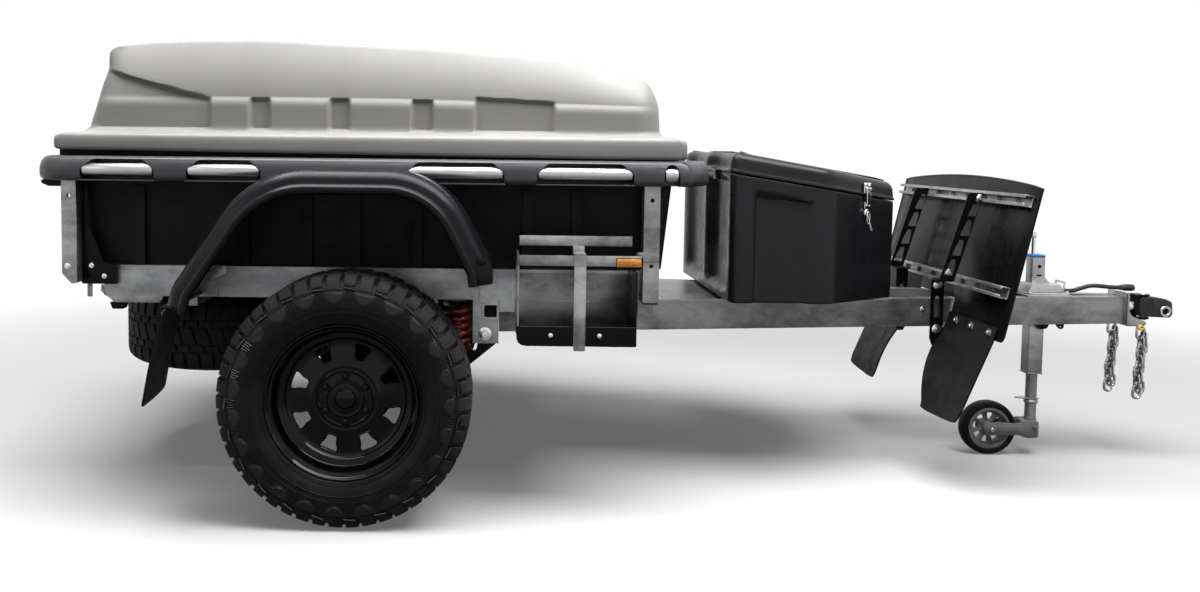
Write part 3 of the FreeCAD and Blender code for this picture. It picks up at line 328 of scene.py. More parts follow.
# ---------------------------------------------------------------- materials
class Finish:
    """A Principled material with object coordinates and small shortcuts to its nodes."""

    def __init__(self, name, colour=(0.5, 0.5, 0.5), metallic=0.0, rough=0.5, **sockets):
        self.mat = bpy.data.materials.new(name)
        self.mat.use_nodes = True
        self.tree = self.mat.node_tree
        self.shader = self.tree.nodes["Principled BSDF"]
        self.shader.inputs["Base Color"].default_value = (*colour, 1)
        self.shader.inputs["Metallic"].default_value = metallic
        self.shader.inputs["Roughness"].default_value = rough
        for socket, value in sockets.items():
            self.shader.inputs[socket.replace("_", " ")].default_value = value
        self.place = self.add("ShaderNodeTexCoord").outputs["Object"]

    def add(self, kind, **settings):
        made = self.tree.nodes.new(kind)
        for name, value in settings.items():
            if name in made.inputs:
                made.inputs[name].default_value = value
            else:
                setattr(made, name, value)
        return made

    def link(self, start, end):
        self.tree.links.new(start, end)

    def noise(self, scale, detail=4.0, rough=0.55, stretch=(1, 1, 1)):
        mapping = self.add("ShaderNodeMapping")
        mapping.inputs["Scale"].default_value = stretch
        self.link(self.place, mapping.inputs["Vector"])
        made = self.add("ShaderNodeTexNoise", Scale=scale, Detail=detail, Roughness=rough)
        self.link(mapping.outputs["Vector"], made.inputs["Vector"])
        return made.outputs["Fac"]

    def cells(self, scale):
        made = self.add("ShaderNodeTexVoronoi", Scale=scale)
        self.link(self.place, made.inputs["Vector"])
        return made.outputs["Color"]

    def levels(self, value, low, high, out_low=0.0, out_high=1.0):
        made = self.add("ShaderNodeMapRange")
        for i, number in enumerate((low, high, out_low, out_high), start=1):
            made.inputs[i].default_value = number
        self.link(value, made.inputs[0])
        return made.outputs[0]

    def grey(self, colour):
        made = self.add("ShaderNodeRGBToBW")
        self.link(colour, made.inputs[0])
        return made.outputs[0]

    def math(self, operation, a, b):
        made = self.add("ShaderNodeMath", operation=operation)
        for socket, value in zip(made.inputs, (a, b)):
            if isinstance(value, (int, float)):
                socket.default_value = value
            else:
                self.link(value, socket)
        return made.outputs[0]

    def blend(self, factor, first, second):
        made = self.add("ShaderNodeMix", data_type="RGBA")
        self.link(factor, made.inputs[0])
        for socket, colour in zip((made.inputs[6], made.inputs[7]), (first, second)):
            if isinstance(colour, tuple):
                socket.default_value = (*colour, 1)
            else:
                self.link(colour, socket)
        return made.outputs[2]

    def colour(self, output):
        self.link(output, self.shader.inputs["Base Color"])

    def rough(self, output):
        self.link(output, self.shader.inputs["Roughness"])

    def bump(self, height, strength, depth):
        made = self.add("ShaderNodeBump", Strength=strength, Distance=depth)
        self.link(height, made.inputs["Height"])
        self.link(made.outputs["Normal"], self.shader.inputs["Normal"])


def plastic(name, colour, rough, grain=900.0, spread=0.12, specular=0.4):
    """Moulded polyethylene: fine grain, a little colour drift and uneven gloss."""
    made = Finish(name, colour, rough=rough, Specular_IOR_Level=specular)
    drift = made.noise(3.2, 5.0)
    dark = tuple(c * (1 - spread) for c in colour)
    pale = tuple(min(c * (1 + spread), 1) for c in colour)
    made.colour(made.blend(made.levels(drift, 0.3, 0.7), dark, pale))
    made.rough(made.levels(made.noise(14.0), 0.3, 0.7, rough - 0.06, rough + 0.08))
    made.bump(made.noise(grain, 3.0), 0.35, 0.0004)
    return made.mat


def galvanised(name, dark, pale):
    """Hot-dipped zinc: faint spangle under broad clouds and drawn stains."""
    made = Finish(name, pale, metallic=0.75, rough=0.4)
    spangle = made.grey(made.cells(70.0))
    fine = made.noise(340.0, 3.0)
    cloud = made.noise(3.4, 7.0, 0.66, (1, 1, 1.7))
    middle = tuple((a + b) / 2 for a, b in zip(dark, pale))
    base = made.blend(made.levels(cloud, 0.42, 0.6), dark, pale)
    streak = made.noise(9.0, 5.0, 0.6, (0.25, 1, 2.2))
    worn = made.blend(made.levels(streak, 0.6, 0.72, 0.0, 0.55), base, tuple(c * 0.45 for c in dark))
    made.colour(made.blend(made.levels(spangle, 0.1, 0.9, 0.0, 0.3), worn, middle))
    mixed = made.math("ADD", made.math("MULTIPLY", spangle, 0.1), made.math("MULTIPLY", cloud, 0.6))
    made.rough(made.levels(mixed, 0.2, 0.5, 0.24, 0.5))
    made.bump(made.math("ADD", fine, made.math("MULTIPLY", spangle, 0.5)), 0.12, 0.0005)
    return made.mat


def rubber(name, colour, rough, dust=0.25, specular=0.09):
    """Rubber with dust lying on it in patches."""
    made = Finish(name, colour, rough=rough, Specular_IOR_Level=specular)
    haze = made.levels(made.noise(9.0, 6.0), 0.45, 0.8, 0.0, dust)
    made.colour(made.blend(haze, colour, (0.07, 0.066, 0.06)))
    made.rough(made.levels(made.noise(22.0), 0.3, 0.7, rough - 0.1, rough + 0.08))
    made.bump(made.noise(620.0, 4.0), 0.4, 0.0005)
    return made.mat


def paint(name, colour, rough, coat=0.0, peel=0.15, specular=0.5):
    """Paint or powder coat with a few scuffs and a little orange peel."""
    made = Finish(name, colour, rough=rough, Specular_IOR_Level=specular, Coat_Weight=coat, Coat_Roughness=0.12)
    scuff = made.levels(made.noise(7.0, 8.0, 0.7), 0.6, 0.78, 0.0, 0.35)
    worn = tuple(c * 1.6 + 0.01 for c in colour)
    made.colour(made.blend(scuff, colour, worn))
    made.rough(made.levels(made.noise(30.0, 5.0), 0.3, 0.7, max(rough - 0.07, 0.02), rough + 0.1))
    made.bump(made.noise(150.0, 2.0), peel, 0.0004)
    return made.mat


def bright(name, colour, rough, drawn=1.0):
    """Bare aluminium or bright plating, faintly drawn along X."""
    made = Finish(name, colour, metallic=1.0, rough=rough)
    line = made.noise(420.0, 4.0, 0.6, (0.03, 1, 1))
    made.rough(made.levels(line, 0.3, 0.7, max(rough - 0.08, 0.02), rough + 0.12 * drawn))
    shade = made.levels(made.noise(18.0, 5.0), 0.3, 0.7)
    made.colour(made.blend(shade, tuple(c * 0.86 for c in colour), colour))
    made.bump(line, 0.08 * drawn, 0.0003)
    return made.mat


def lens(name, colour):
    """A moulded lens with fine upright ribs."""
    made = Finish(name, colour, rough=0.16, Coat_Weight=0.6)
    ribs = made.add("ShaderNodeTexWave", bands_direction="X", Scale=60.0)
    made.link(made.place, ribs.inputs["Vector"])
    made.colour(made.blend(made.levels(ribs.outputs["Fac"], 0, 1), tuple(c * 0.72 for c in colour), colour))
    made.bump(ribs.outputs["Fac"], 0.3, 0.0008)
    return made.mat


FINISH = {
    "galvanised": galvanised("galvanised", (0.15, 0.154, 0.16), (0.4, 0.405, 0.41)),
    "tyre": rubber("tyre_rubber", (0.006, 0.006, 0.0065), 0.5, specular=0.12),
    "wheel_black": paint("wheel_gloss_black", (0.001, 0.001, 0.0012), 0.12, peel=0.05, specular=0.18),
    "black_poly": plastic("tub_black_poly", (0.008, 0.008, 0.009), 0.5, specular=0.12),
    # charcoal plastic with its colour lifted as painted light for the rim's lit upper face
    "rim_poly": plastic("rim_charcoal_poly_painted_light", (0.036, 0.036, 0.041), 0.42, specular=0.5),
    "lid_poly": plastic("lid_warm_grey_poly", (0.25, 0.246, 0.239), 0.42, grain=700.0, spread=0.06, specular=0.3),
    "grab_alloy": bright("grab_alloy", (0.46, 0.465, 0.475), 0.32),
    "box_poly": plastic("toolbox_charcoal_poly", (0.01, 0.01, 0.0118), 0.28, specular=0.22),
    "guard_black": paint("guard_powder_black", (0.003, 0.003, 0.0035), 0.27, specular=0.1),
    "flap_rubber": rubber("flap_rubber", (0.008, 0.008, 0.009), 0.5, dust=0.1),
    # red paint, darkened as painted shade for the spring's place in shadow behind the tyre
    "spring_red": paint("spring_red", (0.26, 0.006, 0.012), 0.34, coat=0.15),
    "chrome": bright("bright_plate", (0.72, 0.73, 0.74), 0.14, drawn=0.4),
    "jockey_grey": plastic("jockey_grey_nylon", (0.27, 0.28, 0.288), 0.38, specular=0.35),
    "coupling_poly": plastic("coupling_black", (0.012, 0.012, 0.012), 0.36),
    "cable_black": plastic("cable_black", (0.012, 0.012, 0.013), 0.45),
    "lens": lens("amber_lens", (1.0, 0.36, 0.01)),
}

# looks of single pieces whose slot says something plainer
RED_LENS = lens("red_lens", (0.5, 0.008, 0.006))
JOCKEY_STEEL = galvanised("jockey_galvanised", (0.26, 0.265, 0.27), (0.5, 0.505, 0.51))
# the same plastic as the rim, without the rim's painted light
MUDGUARD_POLY = plastic("mudguard_black_poly", (0.006, 0.006, 0.008), 0.24, specular=0.14)
DRAWBAR_STEEL = galvanised("drawbar_galvanised", (0.1, 0.102, 0.106), (0.3, 0.302, 0.306))
GLINT = rubber("tyre_glint", (0.008, 0.008, 0.008), 0.22, dust=0.0, specular=0.7)
RELIEF = rubber("tyre_relief", (0.006, 0.006, 0.006), 0.34, dust=0.2, specular=0.3)
CHAIN_STEEL = bright("chain_steel", (0.42, 0.42, 0.43), 0.16)
CARRIER_STEEL = galvanised("carrier_galvanised", (0.08, 0.082, 0.085), (0.24, 0.242, 0.245))
DUSTY_TREAD = rubber("dusty_tread", (0.03, 0.0295, 0.029), 0.66, dust=0.5)
PALE_LENS = plastic("pale_reflector", (0.62, 0.56, 0.48), 0.25)
CAP_BLUE = plastic("cap_blue", (0.02, 0.16, 0.42), 0.4)
TAG_YELLOW = plastic("tag_yellow", (0.75, 0.6, 0.03), 0.45)


def dress(name, slot):
    """Give a CAD node the finish of its slot."""
    node = NODES[name]
    node.data.materials.clear()
    node.data.materials.append(FINISH[slot])


# the nodes of each slot; a star stands for the right-hand and the left-hand one
DRESS = {
    "galvanised": "side_rail* cross_beams drawbar_arm* drawbar_deck rear_post* front_post* can_carrier* "
                  "suspension_mount spare_carrier guard_channels jockey_post jockey_tube jockey_fork coupling_plate "
                  "safety_chains lid_hinges",
    "tyre": "tyre* spare_tyre jockey_tyre",
    "wheel_black": "wheel* spare_wheel",
    "black_poly": "tub",
    "rim_poly": "rim_side* rim_rear rim_front mudguard*",
    "lid_poly": "lid",
    "grab_alloy": "grab_tubes",
    "box_poly": "toolbox_body toolbox_lid",
    "guard_black": "trailing_arm* guard_plate guard_strut* coupling_yoke",
    "flap_rubber": "guard_flap* mudflap*",
    "spring_red": "spring*",
    "chrome": "toolbox_latch",
    "jockey_grey": "jockey_rim",
    "coupling_poly": "coupling_block trailer_plug cable_gland",
    "cable_black": "trailer_cable",
    "lens": "lamps",
}
for slot_name, names in DRESS.items():
    for node_name in names.split():
        for side in ("_right", "_left") if node_name.endswith("*") else ("",):
            dress(node_name.rstrip("*") + side, slot_name)
for node_name in ("drawbar_arm_right", "drawbar_arm_left"):
    NODES[node_name].data.materials[0] = DRAWBAR_STEEL


# ---------------------------------------------------------------- lid
# height of the top's near edge along the trailer, before its crown
LID_TOP = [(-1875, 1446), (-1811, 1453), (-1776, 1464), (-1700, 1475), (-1565, 1484), (-1348, 1489), (-1200, 1486),
           (-1031, 1478), (-743, 1465), (-455, 1442), (-296, 1422), (-200, 1401), (-123, 1380), (-60, 1362),
           (-8, 1346)]
LID_BREAK = [(-1875, 1284), (-914, 1284), (-302, 1272), (-8, 1266)]
LID_REAR = [(1140, 0), (1196, 4), (1267, 27), (1330, 46), (1384, 66), (1421, 68), (1442, 72), (1457, 88)]
LID_FRONT = [(1140, 0), (1196, 1), (1277, 7), (1310, 17), (1338, 31), (1352, 42), (1372, 66)]
LID_CREASE = [(-1900, 1396), (-1800, 1381), (-1760, 1369), (-1610, 1328), (-1500, 1299), (-1470, 1291)]
LID_GROOVES = [(-1330, -1267), (-1075, -1012), (-812, -746)]
LID_PANEL = (-610, -358)
QUARTER_FRONT = -1459


def lid_relief(x, z):
    """How deep the side panels and grooves go at a place, and the recessed rear quarter."""
    rear, front = LID_PANEL
    top = lerp(1306, 1293, min(max((x - rear) / (front - rear), 0), 1))
    panel = step(rear - 7, rear + 7, x) * step(front + 7, front - 7, x) * step(1172, 1188, z)
    panel *= step(top + 5, top - 9, z)
    groove = 0
    for rear, front in LID_GROOVES:
        groove = max(groove, step(rear - 7, rear + 7, x) * step(front + 7, front - 7, x))
    groove *= step(1299, 1285, z) * step(1172, 1188, z)
    quarter = step(along(LID_CREASE, x) + 6, along(LID_CREASE, x) - 7, z)
    quarter *= step(QUARTER_FRONT + 9, QUARTER_FRONT - 9, x) * step(1174, 1192, z)
    return 20 * max(panel, groove), 16 * quarter


def lid_stations(rear, front):
    """Lengths along the side, close together where a recess begins or ends."""
    edges = [QUARTER_FRONT, *LID_PANEL]
    for pair in LID_GROOVES:
        edges += pair
    spots = {rear + (front - rear) * i / 90 for i in range(91)}
    spots = {x for x in spots if min(abs(x - edge) for edge in edges) > 15}
    for edge in edges:
        spots |= {edge + shift for shift in (-12, -8, -4, 0, 4, 8, 12)}
    return sorted(spots)


def lid():
    rear, front, half, corner = -1875.0, -8.0, 594.0, 98.0
    loop = []
    for i in range(17):
        loop.append((rear, -(half - corner) * i / 16, -1.0, 0.0))
    for i in range(1, 12):
        a = math.pi + math.pi / 2 * i / 12
        loop.append((rear + corner + corner * math.cos(a), -half + corner + corner * math.sin(a), math.cos(a),
                     math.sin(a)))
    for x in lid_stations(rear + corner, front - corner):
        loop.append((x, -half, 0.0, -1.0))
    for i in range(1, 13):
        a = -math.pi / 2 + math.pi / 2 * i / 12
        loop.append((front - corner + corner * math.cos(a), -half + corner + corner * math.sin(a), math.cos(a),
                     math.sin(a)))
    for i in range(15, -1, -1):
        loop.append((front, -(half - corner) * i / 16, 1.0, 0.0))
    loop += [(x, -y, nx, -ny) for x, y, nx, ny in loop[-2:0:-1]]

    def drawn_in(x, z, more=0.0):
        """A place along the lid after both ends have leaned in, eased over the last stretch of the sides."""
        x += (along(LID_REAR, z) + more) * max(0, 1 - (x - rear) / 270)
        return x - (along(LID_FRONT, z) + more) * max(0, 1 - (front - x) / 270)

    def ring_point(base, inset_side, z, more=0.0):
        x, y, nx, ny = base
        x = drawn_in(x, z, more)
        deep, quarter = lid_relief(x, z) if abs(ny) > 0.99 else (0, 0)
        if -1.0 < nx < -0.01 and z > 1174:
            quarter = 16 * ny * ny * step(along(LID_CREASE, x) + 6, along(LID_CREASE, x) - 7, z) * step(1174, 1192, z)
        inset = max(inset_side, inset_side * 0.2 + deep) if deep else inset_side
        inset += quarter
        return Vector((x, y - ny * inset * abs(ny), z))

    # the skirt is squarer in plan than the dome above it
    skirt_rear, skirt_front, skirt_half, skirt_corner = -1951.0, 64.0, 640.0, 36.0

    def skirt_point(base, share, z):
        x, y, nx, ny = base
        if abs(ny) > 0.99:
            out = Vector((x, math.copysign(skirt_half, ny), z))
            reach = (x - rear - corner) / (front - rear - 2 * corner)
            out.x = lerp(skirt_rear + skirt_corner, skirt_front - skirt_corner, reach) if not 0.04 < reach < 0.96 else x
        elif abs(ny) < 0.01:
            reach = (skirt_half - skirt_corner) / (half - corner)
            out = Vector((skirt_rear if nx < 0 else skirt_front, y * reach, z))
        else:
            middle_x = skirt_rear + skirt_corner if nx < 0 else skirt_front - skirt_corner
            middle_y = math.copysign(skirt_half - skirt_corner, ny)
            out = Vector((middle_x + nx * skirt_corner, middle_y + ny * skirt_corner, z))
        return Vector((x, y, z)).lerp(out, share)

    rings = []
    for out, z in ((0.86, 0), (0.93, 1.5), (0.975, 5), (1.0, 12), (1.0, 1152), (0.985, 1161), (0.95, 1167.5),
                   (0.89, 1172), (0.8, 1175), (0.6, 1177.5), (0.3, 1180), (0.14, 1183.5), (0.05, 1190)):
        if z < 20:
            rings.append([skirt_point(b, out, lerp(1124, 1107, (b[0] + 1951) / 2015) + z) for b in loop])
        else:
            rings.append([skirt_point(b, out, z) for b in loop])
    for share in (0.1, 0.22, 0.35, 0.49, 0.64, 0.79, 0.92):
        rings.append([ring_point(b, 0, lerp(1190, along(LID_BREAK, b[0]) - 18, share)) for b in loop])
    for inset, shift in ((0, -15), (1, -9), (2.5, -4), (4.5, 1), (7.5, 6), (11, 12)):
        rings.append([ring_point(b, inset, along(LID_BREAK, b[0]) + shift) for b in loop])

    def top_at(b):
        """Height of the top's edge, taken where the leaning ends meet it."""
        return along(LID_TOP, drawn_in(b[0], 1448 if b[0] < -900 else 1362))

    def crease_share(b):
        """Where up the slope the rear quarter's crease runs, so that a row of faces follows it."""
        low = along(LID_BREAK, b[0]) + 12
        tall = top_at(b) - 8 - low
        crease = along(LID_CREASE, drawn_in(b[0], 1370))
        return min(max((crease - low) / tall, 0.06), 0.8)

    slope = [(0, i / 5) for i in range(1, 5)] + [(1, d) for d in (-12, -8, -4, 0, 4, 8, 12)]
    slope += [(2, i / 14) for i in range(1, 15)]
    for kind, amount in slope:
        ring = []
        for b in loop:
            low = along(LID_BREAK, b[0]) + 12
            high = top_at(b) - 8
            middle = crease_share(b)
            near = min(0.09, middle / 1.3)
            if kind == 0:
                t = amount * (middle - near)
            elif kind == 1:
                t = middle + near * amount / 12
            else:
                t = lerp(middle + near, 1, amount)
            ring.append(ring_point(b, lerp(11, 70, 0.35 * t + 0.65 * t ** 1.9), lerp(low, high, t)))
        rings.append(ring)
    for inset, share in ((73, 0.32), (77, 0.58), (82, 0.78), (89, 0.92), (98, 0.985), (108, 1.0)):
        ring = []
        for b in loop:
            top = top_at(b)
            ring.append(ring_point(b, inset, lerp(top - 8, top, share), (inset - 70) * 0.8))
        rings.append(ring)
    edge = rings[-1]
    for i in range(1, 11):
        t = i / 10
        ring = []
        for spot in edge:
            x = lerp(spot.x, min(max(spot.x, -1480), -420), t)
            y = spot.y * (1 - t)
            ring.append(Vector((x, y, lerp(spot.z, along(LID_TOP, x) + 9 * (1 - (1 - t) ** 2), min(1, 3 * t)))))
        rings.append(ring)
    bm = bmesh.new()
    made = [[bm.verts.new(p) for p in ring] for ring in rings]
    weave(bm, made)
    bmesh.ops.remove_doubles(bm, verts=bm.verts, dist=0.05)
    piece("lid_shell", bm, "lid_poly", "lid", ("lid",), sharp=60, modifiers=THICK_SHELL)

    lugs = bmesh.new()
    for y in (-350, 350):
        add(lugs, turned([(3.1, -14), (6, -14), (6, 14), (3.1, 14)], 24), place("Y", (74, y, 1113)))
        add(lugs, block((58, 70), (y - 14, y + 14), (1110, 1116), 1))
    piece("lid_lugs", lugs, "galvanised", "lid")


# ---------------------------------------------------------------- tyres and wheels
TYRE_OUT = [(216.2, 84), (216.2, 98.5), (219, 101.5), (226, 104), (232, 105.5), (236, 108.5), (240, 112.5),
            (243, 112.8), (252, 119), (262, 125), (278, 129.2), (300, 131), (320, 130), (335, 127), (347, 121),
            (356, 113), (365, 103), (371, 92), (373, 62), (373.6, 30)]


def wedge(bm, profile_top, profile_low, angle, width_deg, twist=0.0):
    """A tread block: (radius, height) points on its top and its root, spread over a few degrees."""
    part = bmesh.new()
    sections = []
    for k in (-1, 0, 1):
        row = []
        for r, h in profile_top + profile_low[::-1]:
            a = math.radians(angle + k * width_deg / 2 + twist * h)
            row.append(part.verts.new(polar(r, a, h)))
        sections.append(row)
    weave(part, sections)
    part.faces.new(sections[0])
    part.faces.new(sections[-1])
    bmesh.ops.recalc_face_normals(part, faces=part.faces)
    add(bm, ease(part, 1.3, 1, 35))


def tyre_mesh():
    """The carcass with its sidewall relief, and the tread blocks apart from it."""
    bm = turned(TYRE_OUT + [(r, -h) for r, h in reversed(TYRE_OUT)], 144)
    lugs = bmesh.new()
    pitch = 360 / 46
    for i in range(46):
        a = i * pitch
        for side in (1, -1):
            long = (i + (side > 0)) % 2
            foot = 343 if long else 352
            reach = [(foot, side * (124.5 if long else 119.5)), (358, side * 118.5), (370, side * 110),
                     (378.5, side * 98.5), (381.2, side * 86), (382, side * 60)]
            root = [(foot - 2, side * 112), (350, side * 108), (360, side * 98), (365, side * 88), (367, side * 80),
                    (369, side * 60)]
            wedge(lugs, reach, root, a + (0.45 if side > 0 else 4.3), 5.95 if long else 5.5)
            inner = [(382, side * 54), (382, side * 33)]
            wedge(lugs, inner, [(369, side * 54), (369, side * 33)], a + 2.4 * side, 6.1, 0.035 * side)
        wedge(lugs, [(382, 28), (382, -28)], [(369, 28), (369, -28)], a + 1.6, 6.2, -0.05)
    for side in (1, -1):
        for r, h, size in ((276, 129.4, 1.6), (292, 131.0, 1.1), (246, 115.6, 1.7)):
            ring = [polar(r, math.radians(3 * k), side * h) for k in range(120)]
            add(bm, bar(ring, size, 6, closed=True))
    return bm, lugs


def sidewall_mesh():
    """Raised fins and ribs near the shoulder, and the short worn ledges that catch the light."""
    bm, glints = bmesh.new(), bmesh.new()
    count = 23
    for side in (1, -1):
        for i in range(count):
            a0 = 360 / count * i
            outline = [(-5.6, 336), (5.6, 336), (5.2, 322), (2.6, 306), (0, 301), (-2.6, 306), (-5.2, 322)]
            for scale, lift in ((1.0, 3.0), (0.74, 5.0)):
                part = bmesh.new()
                low, high = [], []
                for da, r in outline:
                    r = 320 + (r - 320) * scale
                    a = math.radians(a0 + da * scale)
                    h = 127.5 + (r < 330) * 1.8
                    low.append(part.verts.new(polar(r, a, side * (h - 4))))
                    high.append(part.verts.new(polar(r, a, side * (h + lift - 1))))
                part.faces.new(low)
                part.faces.new(high)
                weave(part, (low, high))
                bmesh.ops.recalc_face_normals(part, faces=part.faces)
                add(bm, ease(part, 1.1, 1, 35))
            for k in range(4):
                a = math.radians(a0 + 360 / count / 2 + (k - 1.5) * 1.25)
                start, end = 314 + 5 * (k % 2), 338
                add(bm, bar([polar(start, a, side * 130.8), polar((start + end) / 2, a, side * 130.2),
                             polar(end, a, side * 127.2)], 2.1, 5))
            arc = []
            for d in (-1, -0.5, 0, 0.5, 1):
                a = math.radians(a0 + 360 / count / 2 + d * 2.9)
                r = 345.5 + 2.4 * d
                arc.append(polar(r, a, side * 125.4))
            add(glints, bar(arc, 3.0, 6))
    return bm, glints


RIM_PROFILE = [(233, 110.5), (233.6, 107), (232.5, 104), (228, 101), (224, 98), (222, 92), (219, 80), (213, 62),
               (193, 46), (193, -22), (213, -62), (216, -99), (233, -103.5), (233, -110.5), (229, -110.5), (224, -104),
               (209, -96), (206, -64), (188, -28), (188, 30), (182, 33), (112, 36), (100, 38)]
RIM_FACE = [(101, 45.3), (105, 43.2), (112, 41.6), (150, 38.2), (171, 36.5), (177, 38), (182, 43), (186, 48.5),
            (190, 51), (196, 52.4), (201, 55), (205, 59), (208, 64), (209.6, 70), (211, 76), (214.6, 80),
            (217, 85), (218, 91), (219.6, 97), (222.4, 102), (226, 105.4), (228.2, 108.4), (230.6, 110.6)]
HUB = [(60, 34), (60, -40), (20.1, -40), (20.1, -98), (16, -98), (16, 46), (0, 46)]
CAP = [(0, 62), (10, 61.7), (19, 60.2), (26, 57.6), (30, 54.6), (31.5, 51.4), (35.5, 50.6), (37, 51.8), (39, 50.8),
       (50, 50.4), (53.5, 51.2), (56, 49.4), (57.6, 45), (61, 44), (80, 44), (83.5, 46.6), (86.5, 46.6), (90, 44.2),
       (96, 44.6), (100, 45.5)]


def wheel_mesh(hub):
    if hub:
        return turned(RIM_PROFILE + HUB + CAP + RIM_FACE, 144)
    return turned(RIM_PROFILE + [(54, 36), (54, 43.6)] + CAP[-7:] + RIM_FACE, 144)


WINDOW = [(122, -13, 7), (140, -17, 30), (160, -27, 14), (168, -24, 8), (170, 0, 60), (168, 24, 8), (160, 27, 14),
          (140, 17, 30), (122, 13, 7)]
WINDOW_TURN = 26.0


def windows_mesh():
    """Eight tapering openings in the disc."""
    bm = bmesh.new()
    for i in range(8):
        part = prism(WINDOW, "Z", -10, 62, 0)
        add(bm, part, spin(45 * i + WINDOW_TURN))
    return bm


def raw(bm):
    """A bare object for the time a cut takes."""
    bmesh.ops.recalc_face_normals(bm, faces=bm.faces)
    mesh = bpy.data.meshes.new("raw")
    bm.to_mesh(mesh)
    bm.free()
    made = bpy.data.objects.new("raw", mesh)
    SCENE.collection.objects.link(made)
    return made


def carved(bm, tool):
    """Cut one closed mesh out of another and give the result back."""
    base, cutter = raw(bm), raw(tool)
    carve = base.modifiers.new("carve", "BOOLEAN")
    carve.operation = "DIFFERENCE"
    carve.solver = "EXACT"
    carve.object = cutter
    bpy.context.view_layer.update()
    done = bpy.data.meshes.new_from_object(base.evaluated_get(bpy.context.evaluated_depsgraph_get()))
    result = bmesh.new()
    result.from_mesh(done)
    for made in (base, cutter):
        mesh = made.data
        bpy.data.objects.remove(made)
        bpy.data.meshes.remove(mesh)
    bpy.data.meshes.remove(done)
    return result


def wheel_dressed(hub):
    bm = carved(wheel_mesh(hub), windows_mesh())
    for i in range(8):
        ring = []
        for u, v in rounded([(118.5, -15.5, 9)] + WINDOW[1:-1] + [(118.5, 15.5, 9)], 4):
            swell = 1.09 if 124 < u < 166 else 1.06
            ring.append((u if u < 160 else u + 2, v * swell, 39.9 - (u - 112) * 5.1 / 59))
        part = bar(ring, 2.8, 8, closed=True)
        add(bm, part, spin(45 * i + WINDOW_TURN))
    for i in range(6):
        a = math.radians(60 * i + 30)
        spot = (69.85 * math.cos(a), 69.85 * math.sin(a), 0)
        if hub:
            nut = turned([(0, 42), (12.4, 42), (12.4, 45), (10.2, 46.2), (10.2, 53), (8.8, 55.4), (5, 56.4), (0, 56.6)],
                         6)
            add(bm, ease(nut, 0.8, 1), Matrix.Translation(spot))
        add(bm, turned([(0, 43), (14.4, 43), (14.4, 45), (13.4, 45.7), (0, 45.7)], 24),
            Matrix.Translation(spot))
    return bm


AXLE_X, AXLE_Z, WHEEL_Y = -989, 382, 776.5
WHEEL_AT = {"right": place("-Y", (AXLE_X, -WHEEL_Y, AXLE_Z)), "left": place("Y", (AXLE_X, WHEEL_Y, AXLE_Z))}
SPARE_AT = (-1532, 0, 482)


def wheels():
    tread, lugs = tyre_mesh()
    relief, ledges = sidewall_mesh()
    disc = wheel_dressed(True)
    for side, at in WHEEL_AT.items():
        for name, source, slot, more in (
                ("tyre_tread_", tread, "tyre", {"stands_for": ("tyre_" + side,), "sharp": 32}),
                ("tyre_lugs_", lugs, "tyre", {"sharp": 32, "finish": DUSTY_TREAD}),
                ("tyre_relief_", relief, "tyre", {"finish": RELIEF}),
                ("tyre_ledges_", ledges, "tyre", {"finish": GLINT}),
                ("wheel_disc_", disc, "wheel_black", {"stands_for": ("wheel_" + side,), "sharp": 32})):
            copy = source.copy()
            copy.transform(at)
            piece(name + side, copy, slot, "wheel_" + side, **more)
    for spent in (disc, ledges, relief):
        spent.free()
    tread.transform(Matrix.Translation(SPARE_AT))
    piece("spare_tread", tread, "tyre", "chassis", ("spare_tyre",), sharp=32)
    lugs.transform(Matrix.Translation(SPARE_AT))
    piece("spare_lugs", lugs, "tyre", "chassis", sharp=32, finish=DUSTY_TREAD)
    spare = wheel_dressed(False)
    spare.transform(place("-Z", SPARE_AT))
    piece("spare_disc", spare, "wheel_black", "chassis", ("spare_wheel",), sharp=32)


# ---------------------------------------------------------------- tub rim and grab tubes
GRABS = [(-1834, -1613), (-1503, -1280), (-818, -521), (-410, -118), (-15, 25)]
RIM_SWELL = [(1026, 14), (1030, 8), (1034, 4), (1040, 1), (1047, 0), (1062, 0), (1069, 1), (1075, 2.5), (1085, 6),
             (1091, 10), (1095, 13), (1099, 18), (1101, 22), (1104, 30)]


def rim_outward(x, y):
    """Which way the outer face of the rim looks, or nothing for the rest of it."""
    if x < -1890 and y < -580:
        away = Vector((x + 1890, y + 580))
        return away.normalized() if away.length > 100 else None
    if x < -1988:
        return Vector((-1, 0))
    if y < -680 and x < 60:
        return Vector((0, -1))
    if (x - 68) * 0.8604 - (y + 690) * 0.5096 > -8:
        return Vector((0.8604, -0.5096))
    return None


def swelled(bm):
    """Layers up the rim with a rounded outer face."""
    for z, inset in RIM_SWELL[1:-1]:
        bmesh.ops.bisect_plane(bm, geom=bm.verts[:] + bm.edges[:] + bm.faces[:], plane_co=(0, 0, z),
                               plane_no=(0, 0, 1), dist=0.01)
    for vert in bm.verts:
        way = rim_outward(vert.co.x, vert.co.y)
        if way:
            inset = along(RIM_SWELL, vert.co.z)
            vert.co.x -= way.x * inset
            vert.co.y -= way.y * inset
    return bm


